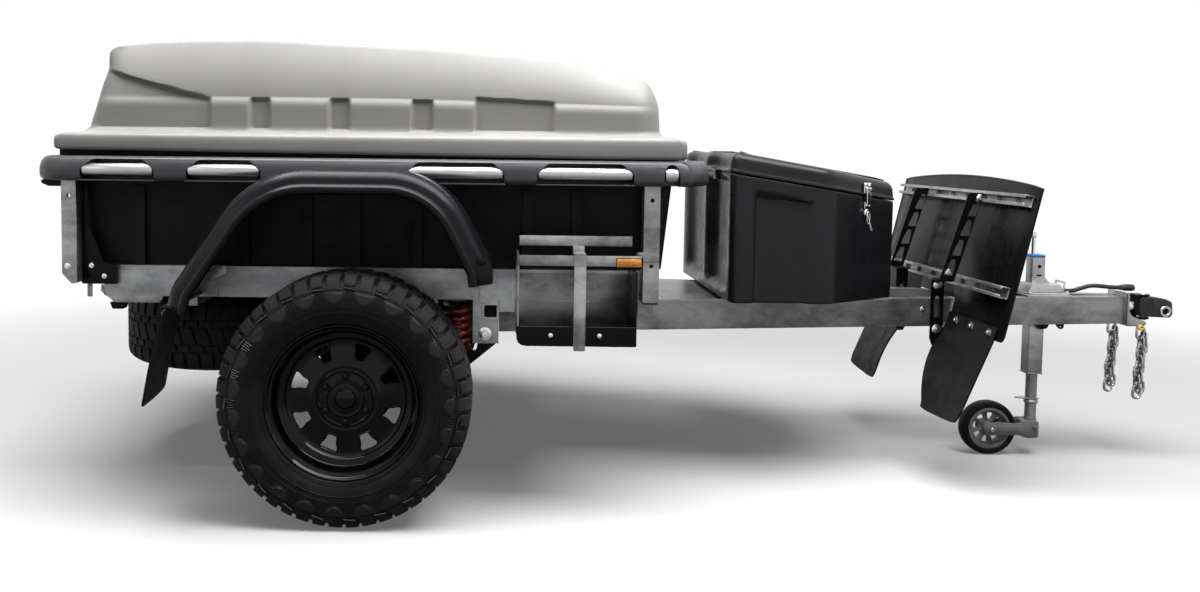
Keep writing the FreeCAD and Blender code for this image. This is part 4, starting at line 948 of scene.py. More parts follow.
def rim():
    outline = [(-2000, -480), (-2000, -690, 110), (68, -690, 30), (145, -560, 30), (145, -480), (60, -480),
               (60, -600, 100), (-1925, -600, 100), (-1925, -480)]
    ring = swelled(prism(outline, "Z", 1026, 1104, 2.5, 2))
    tool = bmesh.new()
    for rear, front in GRABS:
        slant = 30 if front - rear > 60 else 4
        pocket = prism([(rear - 6, 1012), (front + 6, 1012), (front + 4, 1060, 12), (front - slant, 1093, 26),
                        (rear + slant, 1093, 26), (rear - 4, 1060, 12)], "Y", -740, -616, 0)
        add(tool, pocket)
    ring = carved(ring, tool)
    lips = [e for e in ring.edges if len(e.link_faces) == 2 and e.calc_face_angle(0) > 0.6
            and all(v.co.y < -664 and v.co.z > 1037 for v in e.verts)]
    bmesh.ops.bevel(ring, geom=lips, offset=3.0, segments=2, profile=0.5, affect="EDGES")
    for rear, front in GRABS[:4]:
        add(ring, block((rear - 8, front + 8), (-688, -618), (1026, 1031), 1.5))
    # the rail's charcoal finish carries painted light on its upper face
    both("rim_rail", ring, "rim_poly", node="rim_side", sharp=30)

    back = swelled(prism(rect((-2000, -1925), (-482, 482)), "Z", 1026, 1104, 2.5, 2))
    for y in (-300, 0, 300):
        add(back, block((-2000.5, -1990), (y - 110, y + 110), (1044, 1074), 4))
    piece("rim_tail", back, "rim_poly", "chassis", ("rim_rear",))
    nose = prism(rect((60, 145), (-482, 482)), "Z", 1026, 1104, 9, 3)
    piece("rim_nose", nose, "rim_poly", "chassis", ("rim_front",))

    tubes = bmesh.new()
    for rear, front in GRABS:
        profile = [(0, 0), (17, 0), (20, 0.8), (21.4, 3), (21.4, front - rear - 3), (20, front - rear - 0.8),
                   (17, front - rear), (0, front - rear)]
        for side in (-1, 1):
            add(tubes, turned(profile, 32), place("X", (rear, side * 668, 1062)))
    piece("grab_rails", tubes, "grab_alloy", "chassis", ("grab_tubes",))

    seal = bmesh.new()
    for side in (-1, 1):
        add(seal, prism([(-1942, 1104), (38, 1104), (38, 1111), (-1942, 1125)], "Y", side * 583 - 8, side * 583 + 8, 2))
        add(seal, prism([(-1984, 1027), (-1984, 1016, 10), (-1960, 1006, 12), (-1921, 1006, 4), (-1921, 1027)], "Y",
                        side * 604 - 32, side * 604 + 32, 3))
    add(seal, block((-1944, -1908), (-575, 575), (1104, 1124), 2))
    add(seal, block((28, 44), (-560, 560), (1104, 1112), 2))
    piece("lid_seal_and_catches", seal, "black_poly", "chassis")


# ---------------------------------------------------------------- mudguards
GUARD_ARC = [(-1522, 660), (-1504, 722, 100), (-1269, 1073, 320), (-700, 1073, 270), (-553, 790, 60), (-547, 741)]
GUARD_EDGE = [(0, -700), (0, -836), (2, -848), (6, -858), (12, -867), (20, -875), (30, -880), (38, -882), (42, -884),
              (45, -890), (48, -896), (53, -899.6), (59, -900), (65, -898.5), (70, -894), (73, -887), (71, -880),
              (64, -878), (56, -880), (47, -875), (38, -874), (29, -872), (19, -866), (12, -858), (7, -848),
              (6, -836), (6, -700)]


def open_run(points, steps=10):
    """Corners of an open run turned into arcs."""
    out = [Vector(points[0][:2])]
    for before, here, after in zip(points, points[1:], points[2:]):
        a, b, c = Vector(before[:2]), Vector(here[:2]), Vector(after[:2])
        start_way, end_way = (a - b).normalized(), (c - b).normalized()
        turn = math.pi - start_way.angle(end_way)
        reach = here[2] * math.tan(turn / 2)
        centre = b + (start_way + end_way).normalized() * (here[2] / math.cos(turn / 2))
        first, last = b + start_way * reach - centre, b + end_way * reach - centre
        count = max(2, int(math.degrees(turn) / 90 * 3 * steps))
        for k in range(count + 1):
            t = k / count
            mix = (first * math.sin((1 - t) * turn) + last * math.sin(t * turn)) / math.sin(turn)
            out.append(centre + mix)
    out.append(Vector(points[-1][:2]))
    return out


def mudguards():
    run = open_run(GUARD_ARC, 7)
    dense = []
    for a, b in zip(run, run[1:]):
        pieces_count = max(1, int((b - a).length / 30))
        dense += [a.lerp(b, k / pieces_count) for k in range(pieces_count)]
    run = dense + [run[-1]]
    bm = bmesh.new()
    rings = []
    for i, here in enumerate(run):
        ahead = (run[min(i + 1, len(run) - 1)] - run[max(i - 1, 0)]).normalized()
        inward = Vector((ahead.y, -ahead.x))
        inner = -692 if here.y > 1017 else -581
        ring = []
        for n, (depth, y) in enumerate(GUARD_EDGE):
            if n in (0, len(GUARD_EDGE) - 1):
                y = inner
            spot = here + inward * depth
            ring.append(bm.verts.new((spot.x, y, spot.y)))
        rings.append(ring)
    weave(bm, rings)
    bm.faces.new(rings[0])
    bm.faces.new(rings[-1])
    bmesh.ops.recalc_face_normals(bm, faces=bm.faces)
    tongue = [(-606, 790, 10), (-568, 818, 12), (-551, 780, 8), (-548, 745, 6), (-580, 741, 8), (-604, 762, 8)]
    add(bm, prism(tongue, "Y", -888, -880, 2))
    add(bm, prism(rect((-600, -552), (-884, -573)), "Z", 741, 749, 1.5))
    add(bm, prism(rect((-1528, -1492), (-884, -573)), "Z", 657, 664, 1.5))
    both("mudguard_shell", bm, "rim_poly", node="mudguard", sharp=32, finish=MUDGUARD_POLY)

    metal = joined(
        bolt((-573, -700, 749), "Z", 13, 8),
        bolt((-573, -640, 749), "Z", 13, 8),
        bolt((-1508, -690, 664), "Z", 13, 8))
    both("mudguard_bolts", metal, "chrome")
    both("mudguard_foot_bolt", bolt((-581, -887, 808), "-Y", 13, 6, 12), "guard_black")

    flap = bmesh.new()
    rows = []
    for k in range(13):
        t = k / 12
        z = lerp(656, 370, t)
        x = lerp(-1512, -1577, t) - 5 * math.sin(math.pi * t)
        rows.append((x, z))
    outer = []
    for n in range(9):
        y = lerp(-704, -903, n / 8)
        outer.append([flap.verts.new((x + 4 * math.sin(math.pi * n / 8), y,
                                      z + (0 if z > 372 else 12 * (1 - n / 8)))) for x, z in rows])
    weave(flap, outer, wrap=False)
    bmesh.ops.recalc_face_normals(flap, faces=flap.faces)
    both("mudflap_sheet", flap, "flap_rubber", node="mudflap", modifiers=SHEET)
    metal = joined(*(bolt((-1519, y, 642), "-X", 10, 6, 9) for y in (-730, -800, -870)))
    both("mudflap_bolts", metal, "chrome")


# ---------------------------------------------------------------- toolbox
BOX_PLAN = [(247, -444, 30), (582, -444, 90), (863, -250, 45), (863, 250, 45), (582, 444, 90), (247, 444, 30)]


def plan_loop(points, spacing):
    """The rounded plan outline with its outward directions."""
    corners = rounded(points, 8)
    dense = []
    for i in range(len(corners)):
        a, b = Vector(corners[i]), Vector(corners[(i + 1) % len(corners)])
        count = max(1, round((b - a).length / spacing))
        dense += [a.lerp(b, k / count) for k in range(count)]
    loop = []
    for i, here in enumerate(dense):
        ahead = (dense[(i + 1) % len(dense)] - dense[i - 1]).normalized()
        loop.append((here.x, here.y, ahead.y, -ahead.x))
    return loop


def stack(bm, loop, shapes):
    """One ring of the loop's points for each shape, joined into a skin."""
    made = [[bm.verts.new(shape(*base)) for base in loop] for shape in shapes]
    weave(bm, made)
    return made


def flute(y):
    """Depth of the rear face's upright flutes."""
    share = (y + 400) / 800
    if not 0 < share < 1:
        return 0
    wave = abs(math.sin(math.pi * share * 2))
    return 32 * step(0.0, 0.95, wave)


def seam(x):
    """Height of the joint between the toolbox and its lid."""
    return lerp(1067, 969, (x - 247) / 616)


def crest(x):
    """Height of the top of the toolbox's lid."""
    return lerp(1139, 1033, (x - 247) / 616)


def toolbox():
    loop = plan_loop(BOX_PLAN, 11)

    def wall(inset, share):
        def shape(x, y, nx, ny):
            high = seam(x)
            level = lerp(628, high, share)
            deep = inset
            if abs(ny) > 0.98 and x < 560:
                brow = 1003 - (x - 330) * 0.16
                deep += 15 * step(325, 333, x) * step(515, 505, x) * step(brow, brow - 7, level)
            if nx < -0.95:
                deep += flute(y) * step(650, 690, level) * step(high - 6, high - 34, level)
            return Vector((x - nx * deep, y - ny * deep, level))
        return shape

    bm = bmesh.new()
    rings = [wall(10, 0), wall(3, 0.004), wall(0, 0.012)]
    rings += [wall(0, 0.02 + 0.955 * k / 46) for k in range(47)]
    rings += [wall(0, 0.985), wall(1.5, 0.994), wall(5, 0.999)]
    bm.faces.new(stack(bm, loop, rings)[0])
    piece("toolbox_tub", bm, "box_poly", "chassis", ("toolbox_body",), sharp=50, modifiers=SHELL)

    def cover(inset, rise):
        def shape(x, y, nx, ny):
            px, py = x - nx * inset, y - ny * inset
            low = seam(px) + 0.8
            top = crest(px)
            deep = 0
            if nx < -0.95:
                deep = 0.8 * flute(y) * step(low + 6, low + 20, lerp(low, top, rise))
            level = lerp(low, top, rise)
            return Vector((px - nx * deep, py, level))
        return shape

    bm = bmesh.new()
    rings = [cover(6, 0), cover(1, 0.01), cover(-2.5, 0.04), cover(-3, 0.09), cover(-2.0, 0.14), cover(0.5, 0.2)]
    rings += [cover(0.5 + 0.5 * k, 0.2 + 0.07 * k) for k in range(1, 6)]
    for k in range(1, 9):
        a = math.radians(90 * k / 8)
        rings.append(cover(3 + 30 * (1 - math.cos(a)), 0.55 + 0.45 * math.sin(a)))
    edge = stack(bm, loop, rings)[-1]
    rows = [edge]
    for k in range(1, 7):
        t = k / 6
        ring = []
        for spot in (vert.co for vert in edge):
            x = lerp(spot.x, min(max(spot.x, 480), 640), t)
            y = spot.y * (1 - t)
            ring.append(bm.verts.new((x, y, crest(x) + 2.5 * (1 - (1 - t) ** 2) - 2.5 * t)))
        rows.append(ring)
    weave(bm, rows)
    bmesh.ops.remove_doubles(bm, verts=bm.verts, dist=0.05)
    piece("toolbox_cover", bm, "box_poly", "toolbox_lid", ("toolbox_lid",), sharp=50, modifiers=SHELL)

    mat = prism([(300, 1132), (845, 1038), (845, 1042), (812, 1051), (312, 1137), (300, 1137)], "Y", -190, 190, 1.5)
    for k in range(-8, 9):
        strip = prism([(306, 1136.5), (820, 1048), (820, 1050), (306, 1138.5)], "Y", k * 20 - 4, k * 20 + 4, 0.6, 1)
        add(mat, strip)
    piece("toolbox_mat", mat, "flap_rubber", "toolbox_lid")

    hinge = bmesh.new()
    for y in (-200, 180):
        add(hinge, turned([(0, 0), (7, 0), (7, 60), (0, 60)], 20), place("Y", (239.5, y - 30, 1067)))
        add(hinge, block((240, 252), (y - 30, y + 30), (1040, 1062), 1.5))
    piece("toolbox_hinges", hinge, "guard_black", "chassis")

    turn = math.atan2(194, 281)
    spot = Matrix.Translation((728, -444 + 146 * math.tan(turn), seam(728))) @ Matrix.Rotation(turn, 4, "Z")
    latch = joined(
        prism([(-18, 8, 4), (18, 8, 4), (18, 46, 5), (-18, 46, 5)], "Y", -6, -1.5, 1),
        prism([(-10, -30, 4), (10, -30, 4), (13, 30, 3), (-13, 30, 3)], "Y", -14, -8, 1.2),
        prism(rect((-13, 13), (-44, -20), 4), "Y", -6, -1.5, 1))
    for u in (-8, 8):
        add(latch, bar([(u, -10, 28), (u, -11, 0), (u, -9, -34)], 2.2, 8))
        add(latch, turned([(0, 0), (4.5, 0), (4.5, 2), (3, 3.4), (0, 3.6)], 16), place("-Y", (u * 1.5, -6, 38)))
    latch.transform(spot)
    piece("toolbox_catch", latch, "chrome", "toolbox_lid", ("toolbox_latch",))
    clip = bmesh.new()
    add(clip, turned([(0, 0), (12, 0), (12, 6), (9, 8), (0, 8)], 20), place("-Y", (-6, -2, -56)))
    loop_path = [(8 * math.cos(t * math.pi / 5), -12, -74 + 22 * math.sin(t * math.pi / 5)) for t in range(10)]
    add(clip, bar(loop_path, 1.6, 6, closed=True))
    add(clip, bar([(-6, -10, -56), (2, -13, -80), (16, -12, -118), (24, -11, -122), (22, -11, -112), (4, -12, -84)],
                  1.6, 6))
    clip.transform(spot)
    piece("toolbox_clip", clip, "chrome", "chassis")


# ---------------------------------------------------------------- stone guard
NOSE_X = 1811


def arm_face(x):
    """How far out from the middle a drawbar arm's outer face is."""
    return 50 + 0.14 * (NOSE_X - x)


GUARD_LEAN = math.atan2(111, 507)
GUARD_FOOT = Matrix.Translation((1108, 0, 524)) @ Matrix.Rotation(GUARD_LEAN, 4, "Y")
APRON_INNER = [(-570, -160), (-480, -160), (-300, -212), (-240, -238)]


def guard():
    tall, half, crown = 519.0, 550.0, 56.0
    slot = arm_face(1108) + 8
    top = []
    for k in range(25):
        y = lerp(half, -half, k / 24)
        top.append((y, tall + crown * 0.5 * (1 - (y / half) ** 2)))
    outline = [(-half, 0, 20), (-slot, 0, 6), (-slot, 95, 8), (slot, 95, 8), (slot, 0, 6), (half, 0, 20)] + top
    bm = prism(outline, "X", 0, 8, 1.6)
    edge = []
    for y, z in [(half, 20)] + top + [(-half, 20)]:
        edge.append((4, y * 0.9965, z - 2))
    add(bm, bar(edge, 5.2, 8))
    bm.transform(GUARD_FOOT)
    piece("guard_sheet", bm, "guard_black", "chassis", ("guard_plate",))

    rails = bmesh.new()
    for level in (161, 470):
        add(rails, prism([(-30, level - 20), (0, level - 20), (0, level + 20), (-30, level + 20), (-30, level + 9),
                          (-26.5, level + 9), (-26.5, level + 16.5), (-4, level + 16.5), (-4, level - 16.5),
                          (-26.5, level - 16.5), (-26.5, level - 9), (-30, level - 9)], "Y", -520, 520, 0.8, 1))
        for y in (-430, -300, -190, -60, 60, 190, 300, 430):
            add(rails, bolt((-5, y, level), "-X", 12, 7, 11))
    rails.transform(GUARD_FOOT)
    piece("guard_rails", rails, "galvanised", "chassis", ("guard_channels",))

    struts = bmesh.new()

    def across(z, shift):
        """A place along the leaning strut, measured from its rear edge at a height."""
        return 1036 + (z - 690) * 114 / 312.7 + shift

    panel = [(across(690, 0), 684, 3), (across(690, 52), 684, 3),
             (across(1001, 33), 1001, 3), (across(1001, -20), 1001, 8)]
    windows = []
    for k in range(4):
        z0 = 708 + 70 * k
        windows.append([(across(z0, 8), z0, 5), (across(z0, 41), z0, 5), (across(z0 + 56, 30), z0 + 56, 6),
                        (across(z0 + 56, 14), z0 + 56, 6)])
    add(struts, prism(panel, "Y", -234, -228, 1, 1, holes=windows))
    add(struts, prism(rect((1036, 1086), (-234, -150)), "Z", 684, 690, 1))
    arm = arm_face(1061) + 4
    lower = prism([(1038, 690), (1084, 690), (1084, 470, 8), (1072, 441, 8), (1048, 441, 8), (1038, 470, 8)], "Y",
                  -arm - 8, -arm - 2, 1, 1,
                  holes=[[(1051, 545, 5), (1071, 545, 5), (1071, 612, 5), (1061, 632, 5), (1051, 612, 5)]])
    add(struts, lower)
    both("guard_arm", struts, "guard_black", node="guard_strut")
    metal = joined(
        *(bolt((1061, -arm - 8, z), "-Y", 19, 11, 17) for z in (664, 503)),
        *(bolt((across(z, 24), -234, z), "-Y", 15, 8, 12) for z in (718, 985)))
    both("guard_arm_bolts", metal, "chrome")

    flap = bmesh.new()
    columns = []
    for n in range(17):
        share = n / 16
        column = []
        for k in range(21):
            t = k / 20
            z = lerp(568, lerp(228, 240, share) + 8 * (2 * share - 1) ** 4, t)
            near = along(APRON_INNER, -z)
            y = lerp(near, -512 + 12 * step(276, 246, z), share)
            fall = min(max((524 - z) / 272, 0), 1)
            bow = 5 * math.sin(math.pi * share) * t - 24 * (1 - share) * math.sin(math.pi * fall)
            x = 1111.5 - (568 - z) * 0.219 if z > 524 else 1101.8 - (524 - z) * 0.405 + bow
            column.append(flap.verts.new((x, y, z)))
        columns.append(column)
    weave(flap, columns, wrap=False)
    bmesh.ops.recalc_face_normals(flap, faces=flap.faces)
    both("guard_apron", flap, "flap_rubber", node="guard_flap", modifiers=SHEET)
    metal = joined(*(bolt((1103.5, y, 548), "-X", 15, 9, 14) for y in (-230, -350, -480)))
    both("guard_apron_bolts", metal, "chrome")


# ---------------------------------------------------------------- can carriers
def can_carriers():
    side, inner = -768, -573
    bars = joined(
        prism([(-301, 525, 4), (-265, 525, 4), (-265, 785), (-301, 785)], "Y", side - 6, side, 1),
        prism(rect((-301, -265), (784, 818)), "Y", side - 6.2, side - 5, 0.3, 1),
        block((-472, -91), (side, side + 6), (785, 817), 1),
        block((-474, -468), (side, inner), (785, 817), 1),
        block((-97, -91), (side, -640), (785, 817), 1),
        block((-97, -24), (-646, -640), (785, 817), 1),
        block((-474, -468), (side, -728), (599, 786), 1),
        block((-474, -468), (-613, inner), (740, 786), 1),
        block((-467, -118), (-706, -700), (841, 872), 1),
        block((-301, -265), (side, -700), (817, 823), 1),
        block((-301, -265), (-706, -700), (820, 842), 1))
    plate = joined(
        prism(rect((-474, -108), (543, 740)), "Y", inner - 5, inner, 1),
        *((turned([(6, 0), (10, 0), (10, 2), (6, 2.5)], 20), place("-Y", (x, inner - 5, 706))) for x in (-385, -205)),
        block((-468, -112), (inner - 6.5, inner - 4.5), (647, 649), 0.5, 1))
    both("can_back", plate, "galvanised", finish=CARRIER_STEEL)
    for x, z in ((-301, 801), (-265, 801), (-283, 785)):
        add(bars, bar([(x, side - 3, z - 14), (x, side - 3.4, z), (x, side - 3, z + 14)], 2.2, 6))
    both("can_bars", bars, "galvanised", node="can_carrier")

    tray = bmesh.new()
    profile = [(-474, 599), (-474, 560), (-470, 549), (-460, 541), (-446, 538), (-112, 538), (-108, 542), (-108, 767),
               (-113, 767), (-113, 545), (-115, 543), (-446, 543), (-457, 546), (-465, 552), (-469, 561), (-469, 599)]
    add(tray, prism(profile, "Y", side + 0.3, inner - 5.2, 0.8, 1))
    lip = [(-474, 599, 3), (-474, 575, 1), (-460, 545, 30), (-420, 538, 10), (-108, 538, 4), (-108, 599, 4)]
    add(tray, prism(lip, "Y", side, side + 5, 1, 1))
    both("can_tray", tray, "guard_black")
    metal = joined(*(bolt((x, side, 572), "-Y", 8, 4.5, 7) for x in (-370, -221)))
    both("can_bolts", metal, "chrome")

    both("side_marker", prism(rect((-172, -98), (784, 808), 3), "Y", -774, -768.2, 2, 2), "lens")
    both("side_marker_base", prism(rect((-175, -95), (781, 811), 3), "Y", -769.5, -768, 0.6, 1), "black_poly")


# ---------------------------------------------------------------- chassis details
def chassis_details():
    post = joined(
        prism([(-1919, 1026), (-1871, 1026), (-1871, 699, 3), (-1888, 696, 6), (-1919, 728, 8)],
            "Y", -640, -634, 1, 1, holes=[rect((-1901, -1890), (972, 983), 5.5)]),
        block((-1876, -1871), (-636, -592), (699, 1026), 1),
        prism([(-1919, 1026), (-1914, 1026), (-1914, 726), (-1919, 730)], "Y", -636, -592, 0.8, 1))
    both("rear_post_channel", post, "galvanised", node="rear_post")
    holes = [rect((-54, -42), (z - 6, z + 6), 6) for z in (772, 981)]
    post = joined(
        prism([(-74, 1026), (-23, 1026), (-23, 655, 3), (-74, 655, 3)], "Y", -640, -635, 1, 1, holes=holes),
        *(block((x, x + 5), (-637, -592), (655, 1026), 1) for x in (-74, -28)),
        block((-73, -30), (-594, -573.4), (656, 744), 1))
    both("front_post_channel", post, "galvanised", node="front_post")
    foot = joined(
        prism([(-1871, 1024), (-1852, 1024), (-1852, 892, 20), (-1802, 762, 14), (-1764, 752, 4), (-1764, 692, 4),
            (-1871, 692, 4)], "Y", -597, -590, 1),
        prism([(-1876, 745), (-1764, 745), (-1764, 690), (-1876, 690, 6)], "Y", -592, -573.4, 1))
    both("rear_gusset", foot, "guard_black")
    metal = joined(
        bolt((-1900, -640, 752), "-Y", 12, 7, 10),
        bolt((-1842, -597, 750), "-Y", 11, 6, 9),
        bolt((-1800, -597, 716), "-Y", 9, 5, 8),
        *(bolt((x, -arm_face(x), 575), "-Y", 11, 5, 9) for x in (1010, 1330)))
    both("frame_bolts", metal, "chrome")
    steel = joined(
        prism([(-1818, 700, 4), (-1812, 668, 8), (-1800, 650), (-1618, 650), (-1628, 628, 10), (-1776, 628, 12),
            (-1822, 664, 10)], "Y", -573, -565, 1),
        *(block((x - 1.6, x + 1.6), (-574.8, -572.5), (651, 749), 0.7, 1) for x in (-1440, -592)),
        prism([(-1470, 700, 8), (-1412, 728, 10), (-1412, 752), (-1470, 752)], "Y", -579, -573, 1),
        prism(rect((-585, -425), (612, 651)), "Y", -388, -382, 1))
    both("frame_welds", steel, "galvanised")
    plugs = joined(
        block((-1812, -1809), (-570, -526), (653, 747), 1),
        block((-72, -25), (-638, -592), (650, 656), 2),
        prism([(-1790, 604, 6), (-1752, 604, 6), (-1744, 626), (-1798, 626)], "Y", -560, -530, 2))
    both("frame_plugs", plugs, "black_poly")
    both("rail_reflector", prism(rect((-1858, -1842), (648, 694), 2), "Y", -592, -586, 1.5), "lens", finish=PALE_LENS)

    lamp = joined(*(block((-1832, -1812), (side_y - 60, side_y + 20), (668, 732), 4, 3) for side_y in (-460, 460)))
    piece("tail_lenses", lamp, "lens", "chassis", ("lamps",), finish=RED_LENS)
    amber = joined(*(block((-1832, -1812), (side_y + 20, side_y + 60), (668, 732), 4, 3) for side_y in (-460, 460)))
    piece("turn_lenses", amber, "lens", "chassis")
    plate = prism(rect((-150, 150), (660, 742), 6), "X", -1822, -1818, 1)
    piece("number_plate_blank", plate, "grab_alloy", "chassis")


# ---------------------------------------------------------------- suspension springs
SPRING_X, SPRING_Y = -664, -548


def springs():
    coil = bmesh.new()
    turns, steps = 5.6, 26
    path = []
    for i in range(int(turns * steps) + 1):
        a = 2 * math.pi * i / steps
        rise = i / (turns * steps)
        rise = rise + 0.012 * math.sin(2 * math.pi * rise)
        path.append((SPRING_X + 38 * math.cos(a), SPRING_Y + 38 * math.sin(a), lerp(492, 636, rise)))
    add(coil, bar(path, 8.2, 12))
    add(coil, turned([(0, 0), (25, 0), (25, 96), (22, 100), (0, 100)], 28), place("Z", (SPRING_X, SPRING_Y, 484)))
    # the coil's red carries painted shade
    both("spring_coil", coil, "spring_red", node="spring")
    seats = ([(0, 478), (48, 478), (49, 480), (49, 483), (47, 485), (0, 486)],
             [(0, 643), (47, 643), (49, 645), (49, 649), (0, 650)])
    foot = Matrix.Translation((SPRING_X, SPRING_Y, 0))
    seat = joined(*((turned(profile, 32), foot) for profile in seats),
                  (turned([(0, 570), (10, 570), (10, 643), (0, 643)], 16), foot))
    both("spring_seat", seat, "guard_black")
    pivot = joined(
        (turned([(10.5, 0), (21, 0), (21, 3), (10.5, 4)], 28), place("-Y", (-572, -573, 540))),
        bolt((-572, -577, 540), "-Y", 22, 9))
    both("pivot_bolt", pivot, "chrome")
    collar = prism(rect((-583, -527), (585, 641)), "Y", -578, -573, 1, 1, holes=[rect((-575, -535), (593, 633))])
    both("tube_collar", collar, "galvanised")


# ---------------------------------------------------------------- nose: jockey wheel, coupling, chains, cable
STEM_X = 1500
JOCKEY_AXLE = (1338, 0, 102)


def jockey():
    post = bmesh.new()
    x = STEM_X
    for y in (-27, 24):
        add(post, block((x - 30, x + 24), (y, y + 3), (312, 512), 1.2))
    for side_x in (x - 30, x + 21):
        add(post, block((side_x, side_x + 3), (-27, 27), (312, 512), 1.2))

    def round_hole(radius):
        r = radius - 0.05
        return [rect((x - radius, x + radius), (-radius, radius), r)]

    add(post, prism(rect((x - 28, x + 22), (-25, 25)), "Z", 430, 612, 0.6, 1, holes=round_hole(20.5)))
    add(post, block((x - 32, x + 26), (-29, 29), (312, 317), 1.2))
    add(post, prism(rect((1431, 1601), (-74, 74), 8), "Z", 612, 618, 1, holes=round_hole(16)))
    add(post, prism(rect((1436, 1596), (-70, 70), 8), "Z", 618, 624, 1, holes=round_hole(16)))
    bore = lathed([(0, 600), (16, 600), (16, 680), (0, 680)], 40, "Z", (x, 0, 0))
    add(post, carved(prism([(1444, 624), (1588, 624), (1566, 656, 8), (1462, 656, 8)], "Y", -50, 50, 3, 2), bore))
    head = prism([(x - 26, 655), (x + 20, 655), (x + 20, 757, 6), (x - 26, 757, 6)], "Y",
                 -24, -20, 1, 1, holes=[rect((x - 7, x + 7), (712, 726), 6.9), rect((x - 10, x + 10), (682, 689), 3)])
    twin = mirrored(head)
    add(post, head)
    add(post, twin)
    add(post, block((x - 26, x - 22), (-23, 23), (655, 757), 1))
    add(post, block((x + 16, x + 20), (-23, 23), (655, 757), 1))
    add(post, prism([(x + 20, 655), (x + 44, 655), (x + 24, 676, 6), (x + 20, 700, 12)], "Y", -22, -18, 0.8, 1))
    for y in (-62, 62):
        for bx in (1446, 1586):
            add(post, bolt((bx, y, 624), "Z", 12, 7, 10))
    strap = [(1586, -30, 624), (1592, -30, 650), (1592, -30, 662), (1592, 30, 662), (1592, 30, 650), (1586, 30, 624)]
    add(post, bar(strap, 3.4, 8))
    piece("jockey_clamp", post, "galvanised", "chassis", ("jockey_post",), finish=JOCKEY_STEEL)
    inner = lathed([(0, 657), (11.6, 657), (11.6, 752), (0, 752)], 24, "Z", (x, 0, 0))
    piece("jockey_screw", inner, "guard_black", "chassis")
    cap = block((x - 27, x + 21), (-25, 25), (752, 764), 4, 3)
    piece("jockey_cap", cap, "jockey_grey", "chassis", finish=CAP_BLUE)
    crank = joined(
        (turned([(0, 0), (7, 0), (7, 76), (4, 78), (0, 78)], 20), Matrix.Translation((x - 14, 0, 762))),
        prism(rect((x - 22, x - 6), (826, 848), 5), "Y", -8, 8, 1.5),
        bar([(x - 22, 0, 838), (x - 40, 0, 828), (x - 60, 0, 806), (x - 66, 0, 776), (x - 68, 0, 744)], 5.5, 10),
        (turned([(0, 0), (9, 0), (10, 6), (8, 40), (9, 54), (6, 60), (0, 60)], 20), place("-Z", (x - 68, 0, 750))))
    piece("jockey_crank", crank, "chrome", "chassis")
    catch = joined(
        prism([(1478, 512), (1540, 512), (1530, 488, 8), (1506, 484, 8)], "Y", -40, -28, 1.5),
        (turned([(5, 0), (11, 0), (11, 8), (5, 8)], 24), place("-Y", (1578, -36, 498))),
        prism([(1556, 512), (1600, 512), (1586, 500, 4), (1566, 494, 4)], "Y", -44, -36, 1))
    piece("jockey_catch", catch, "guard_black", "chassis")

    tube = turned([(12.2, 213), (19.8, 213), (20, 214.5), (20, 514), (15.4, 519), (15.4, 606), (12.2, 606)], 40)
    add(tube, prism([(-60, -7, 3), (-8, -19, 3), (22, -21, 4), (22, 21, 4), (-8, 19, 3), (-60, 7, 3)], "Z",
                    214, 219, 1))
    tube.transform(Matrix.Translation((x, 0, 0)))
    piece("jockey_inner_tube", tube, "galvanised", "jockey_tube", ("jockey_tube",), finish=JOCKEY_STEEL)

    neck = lathed([(0, 128), (20, 128), (20, 196), (24, 198), (25, 200), (25, 207), (24, 209), (19.6, 212.4),
                   (0, 212.4)], 40, "Z", (x, 0, 0))
    piece("jockey_neck", neck, "galvanised", "jockey_fork", finish=JOCKEY_STEEL)
    fork = bmesh.new()
    cheek = [(x + 16, 134, 8), (1462, 134, 14), (1440, 126, 30), (1352, 127, 24), (1318, 122, 20), (1308, 102, 18),
             (1318, 82, 18), (1352, 78, 24), (1440, 80, 30), (1470, 70, 14), (x + 16, 70, 10)]
    rib = [(1456, 120, 6), (1440, 115, 20), (1362, 116, 8), (1362, 90, 8), (1440, 91, 20), (1456, 86, 6)]
    for low in (-38, 32):
        add(fork, prism(cheek, "Y", low, low + 6, 1.8))
        add(fork, prism(rib, "Y", low - 1.6 if low < 0 else low + 5, low + 1 if low < 0 else low + 7.6, 1.2))
        add(fork, turned([(0, 0), (23, 0), (23, 3), (17, 5), (12, 5), (12, 8), (0, 8)], 28),
            place("-Y" if low < 0 else "Y", (1338, -37.5 if low < 0 else 37.5, 102)))
    add(fork, block((1462, x + 16), (-37, 37), (72, 132), 7, 3))
    add(fork, turned([(0, 64), (18, 64), (22, 68), (22, 140), (20, 146), (0, 146)], 32),
        Matrix.Translation((x, 0, 0)))
    for side_y in (-1, 1):
        add(fork, bolt((x, side_y * 37, 112), "-Y" if side_y < 0 else "Y", 12, 5, 10))
    piece("jockey_fork_cast", fork, "jockey_grey", "jockey_fork", ("jockey_fork",))
    axle = lathed([(0, -49), (7, -49), (8, -48), (8, 48), (7, 49), (0, 49)], 20, "Y", JOCKEY_AXLE)
    piece("jockey_axle", axle, "chrome", "jockey_fork")

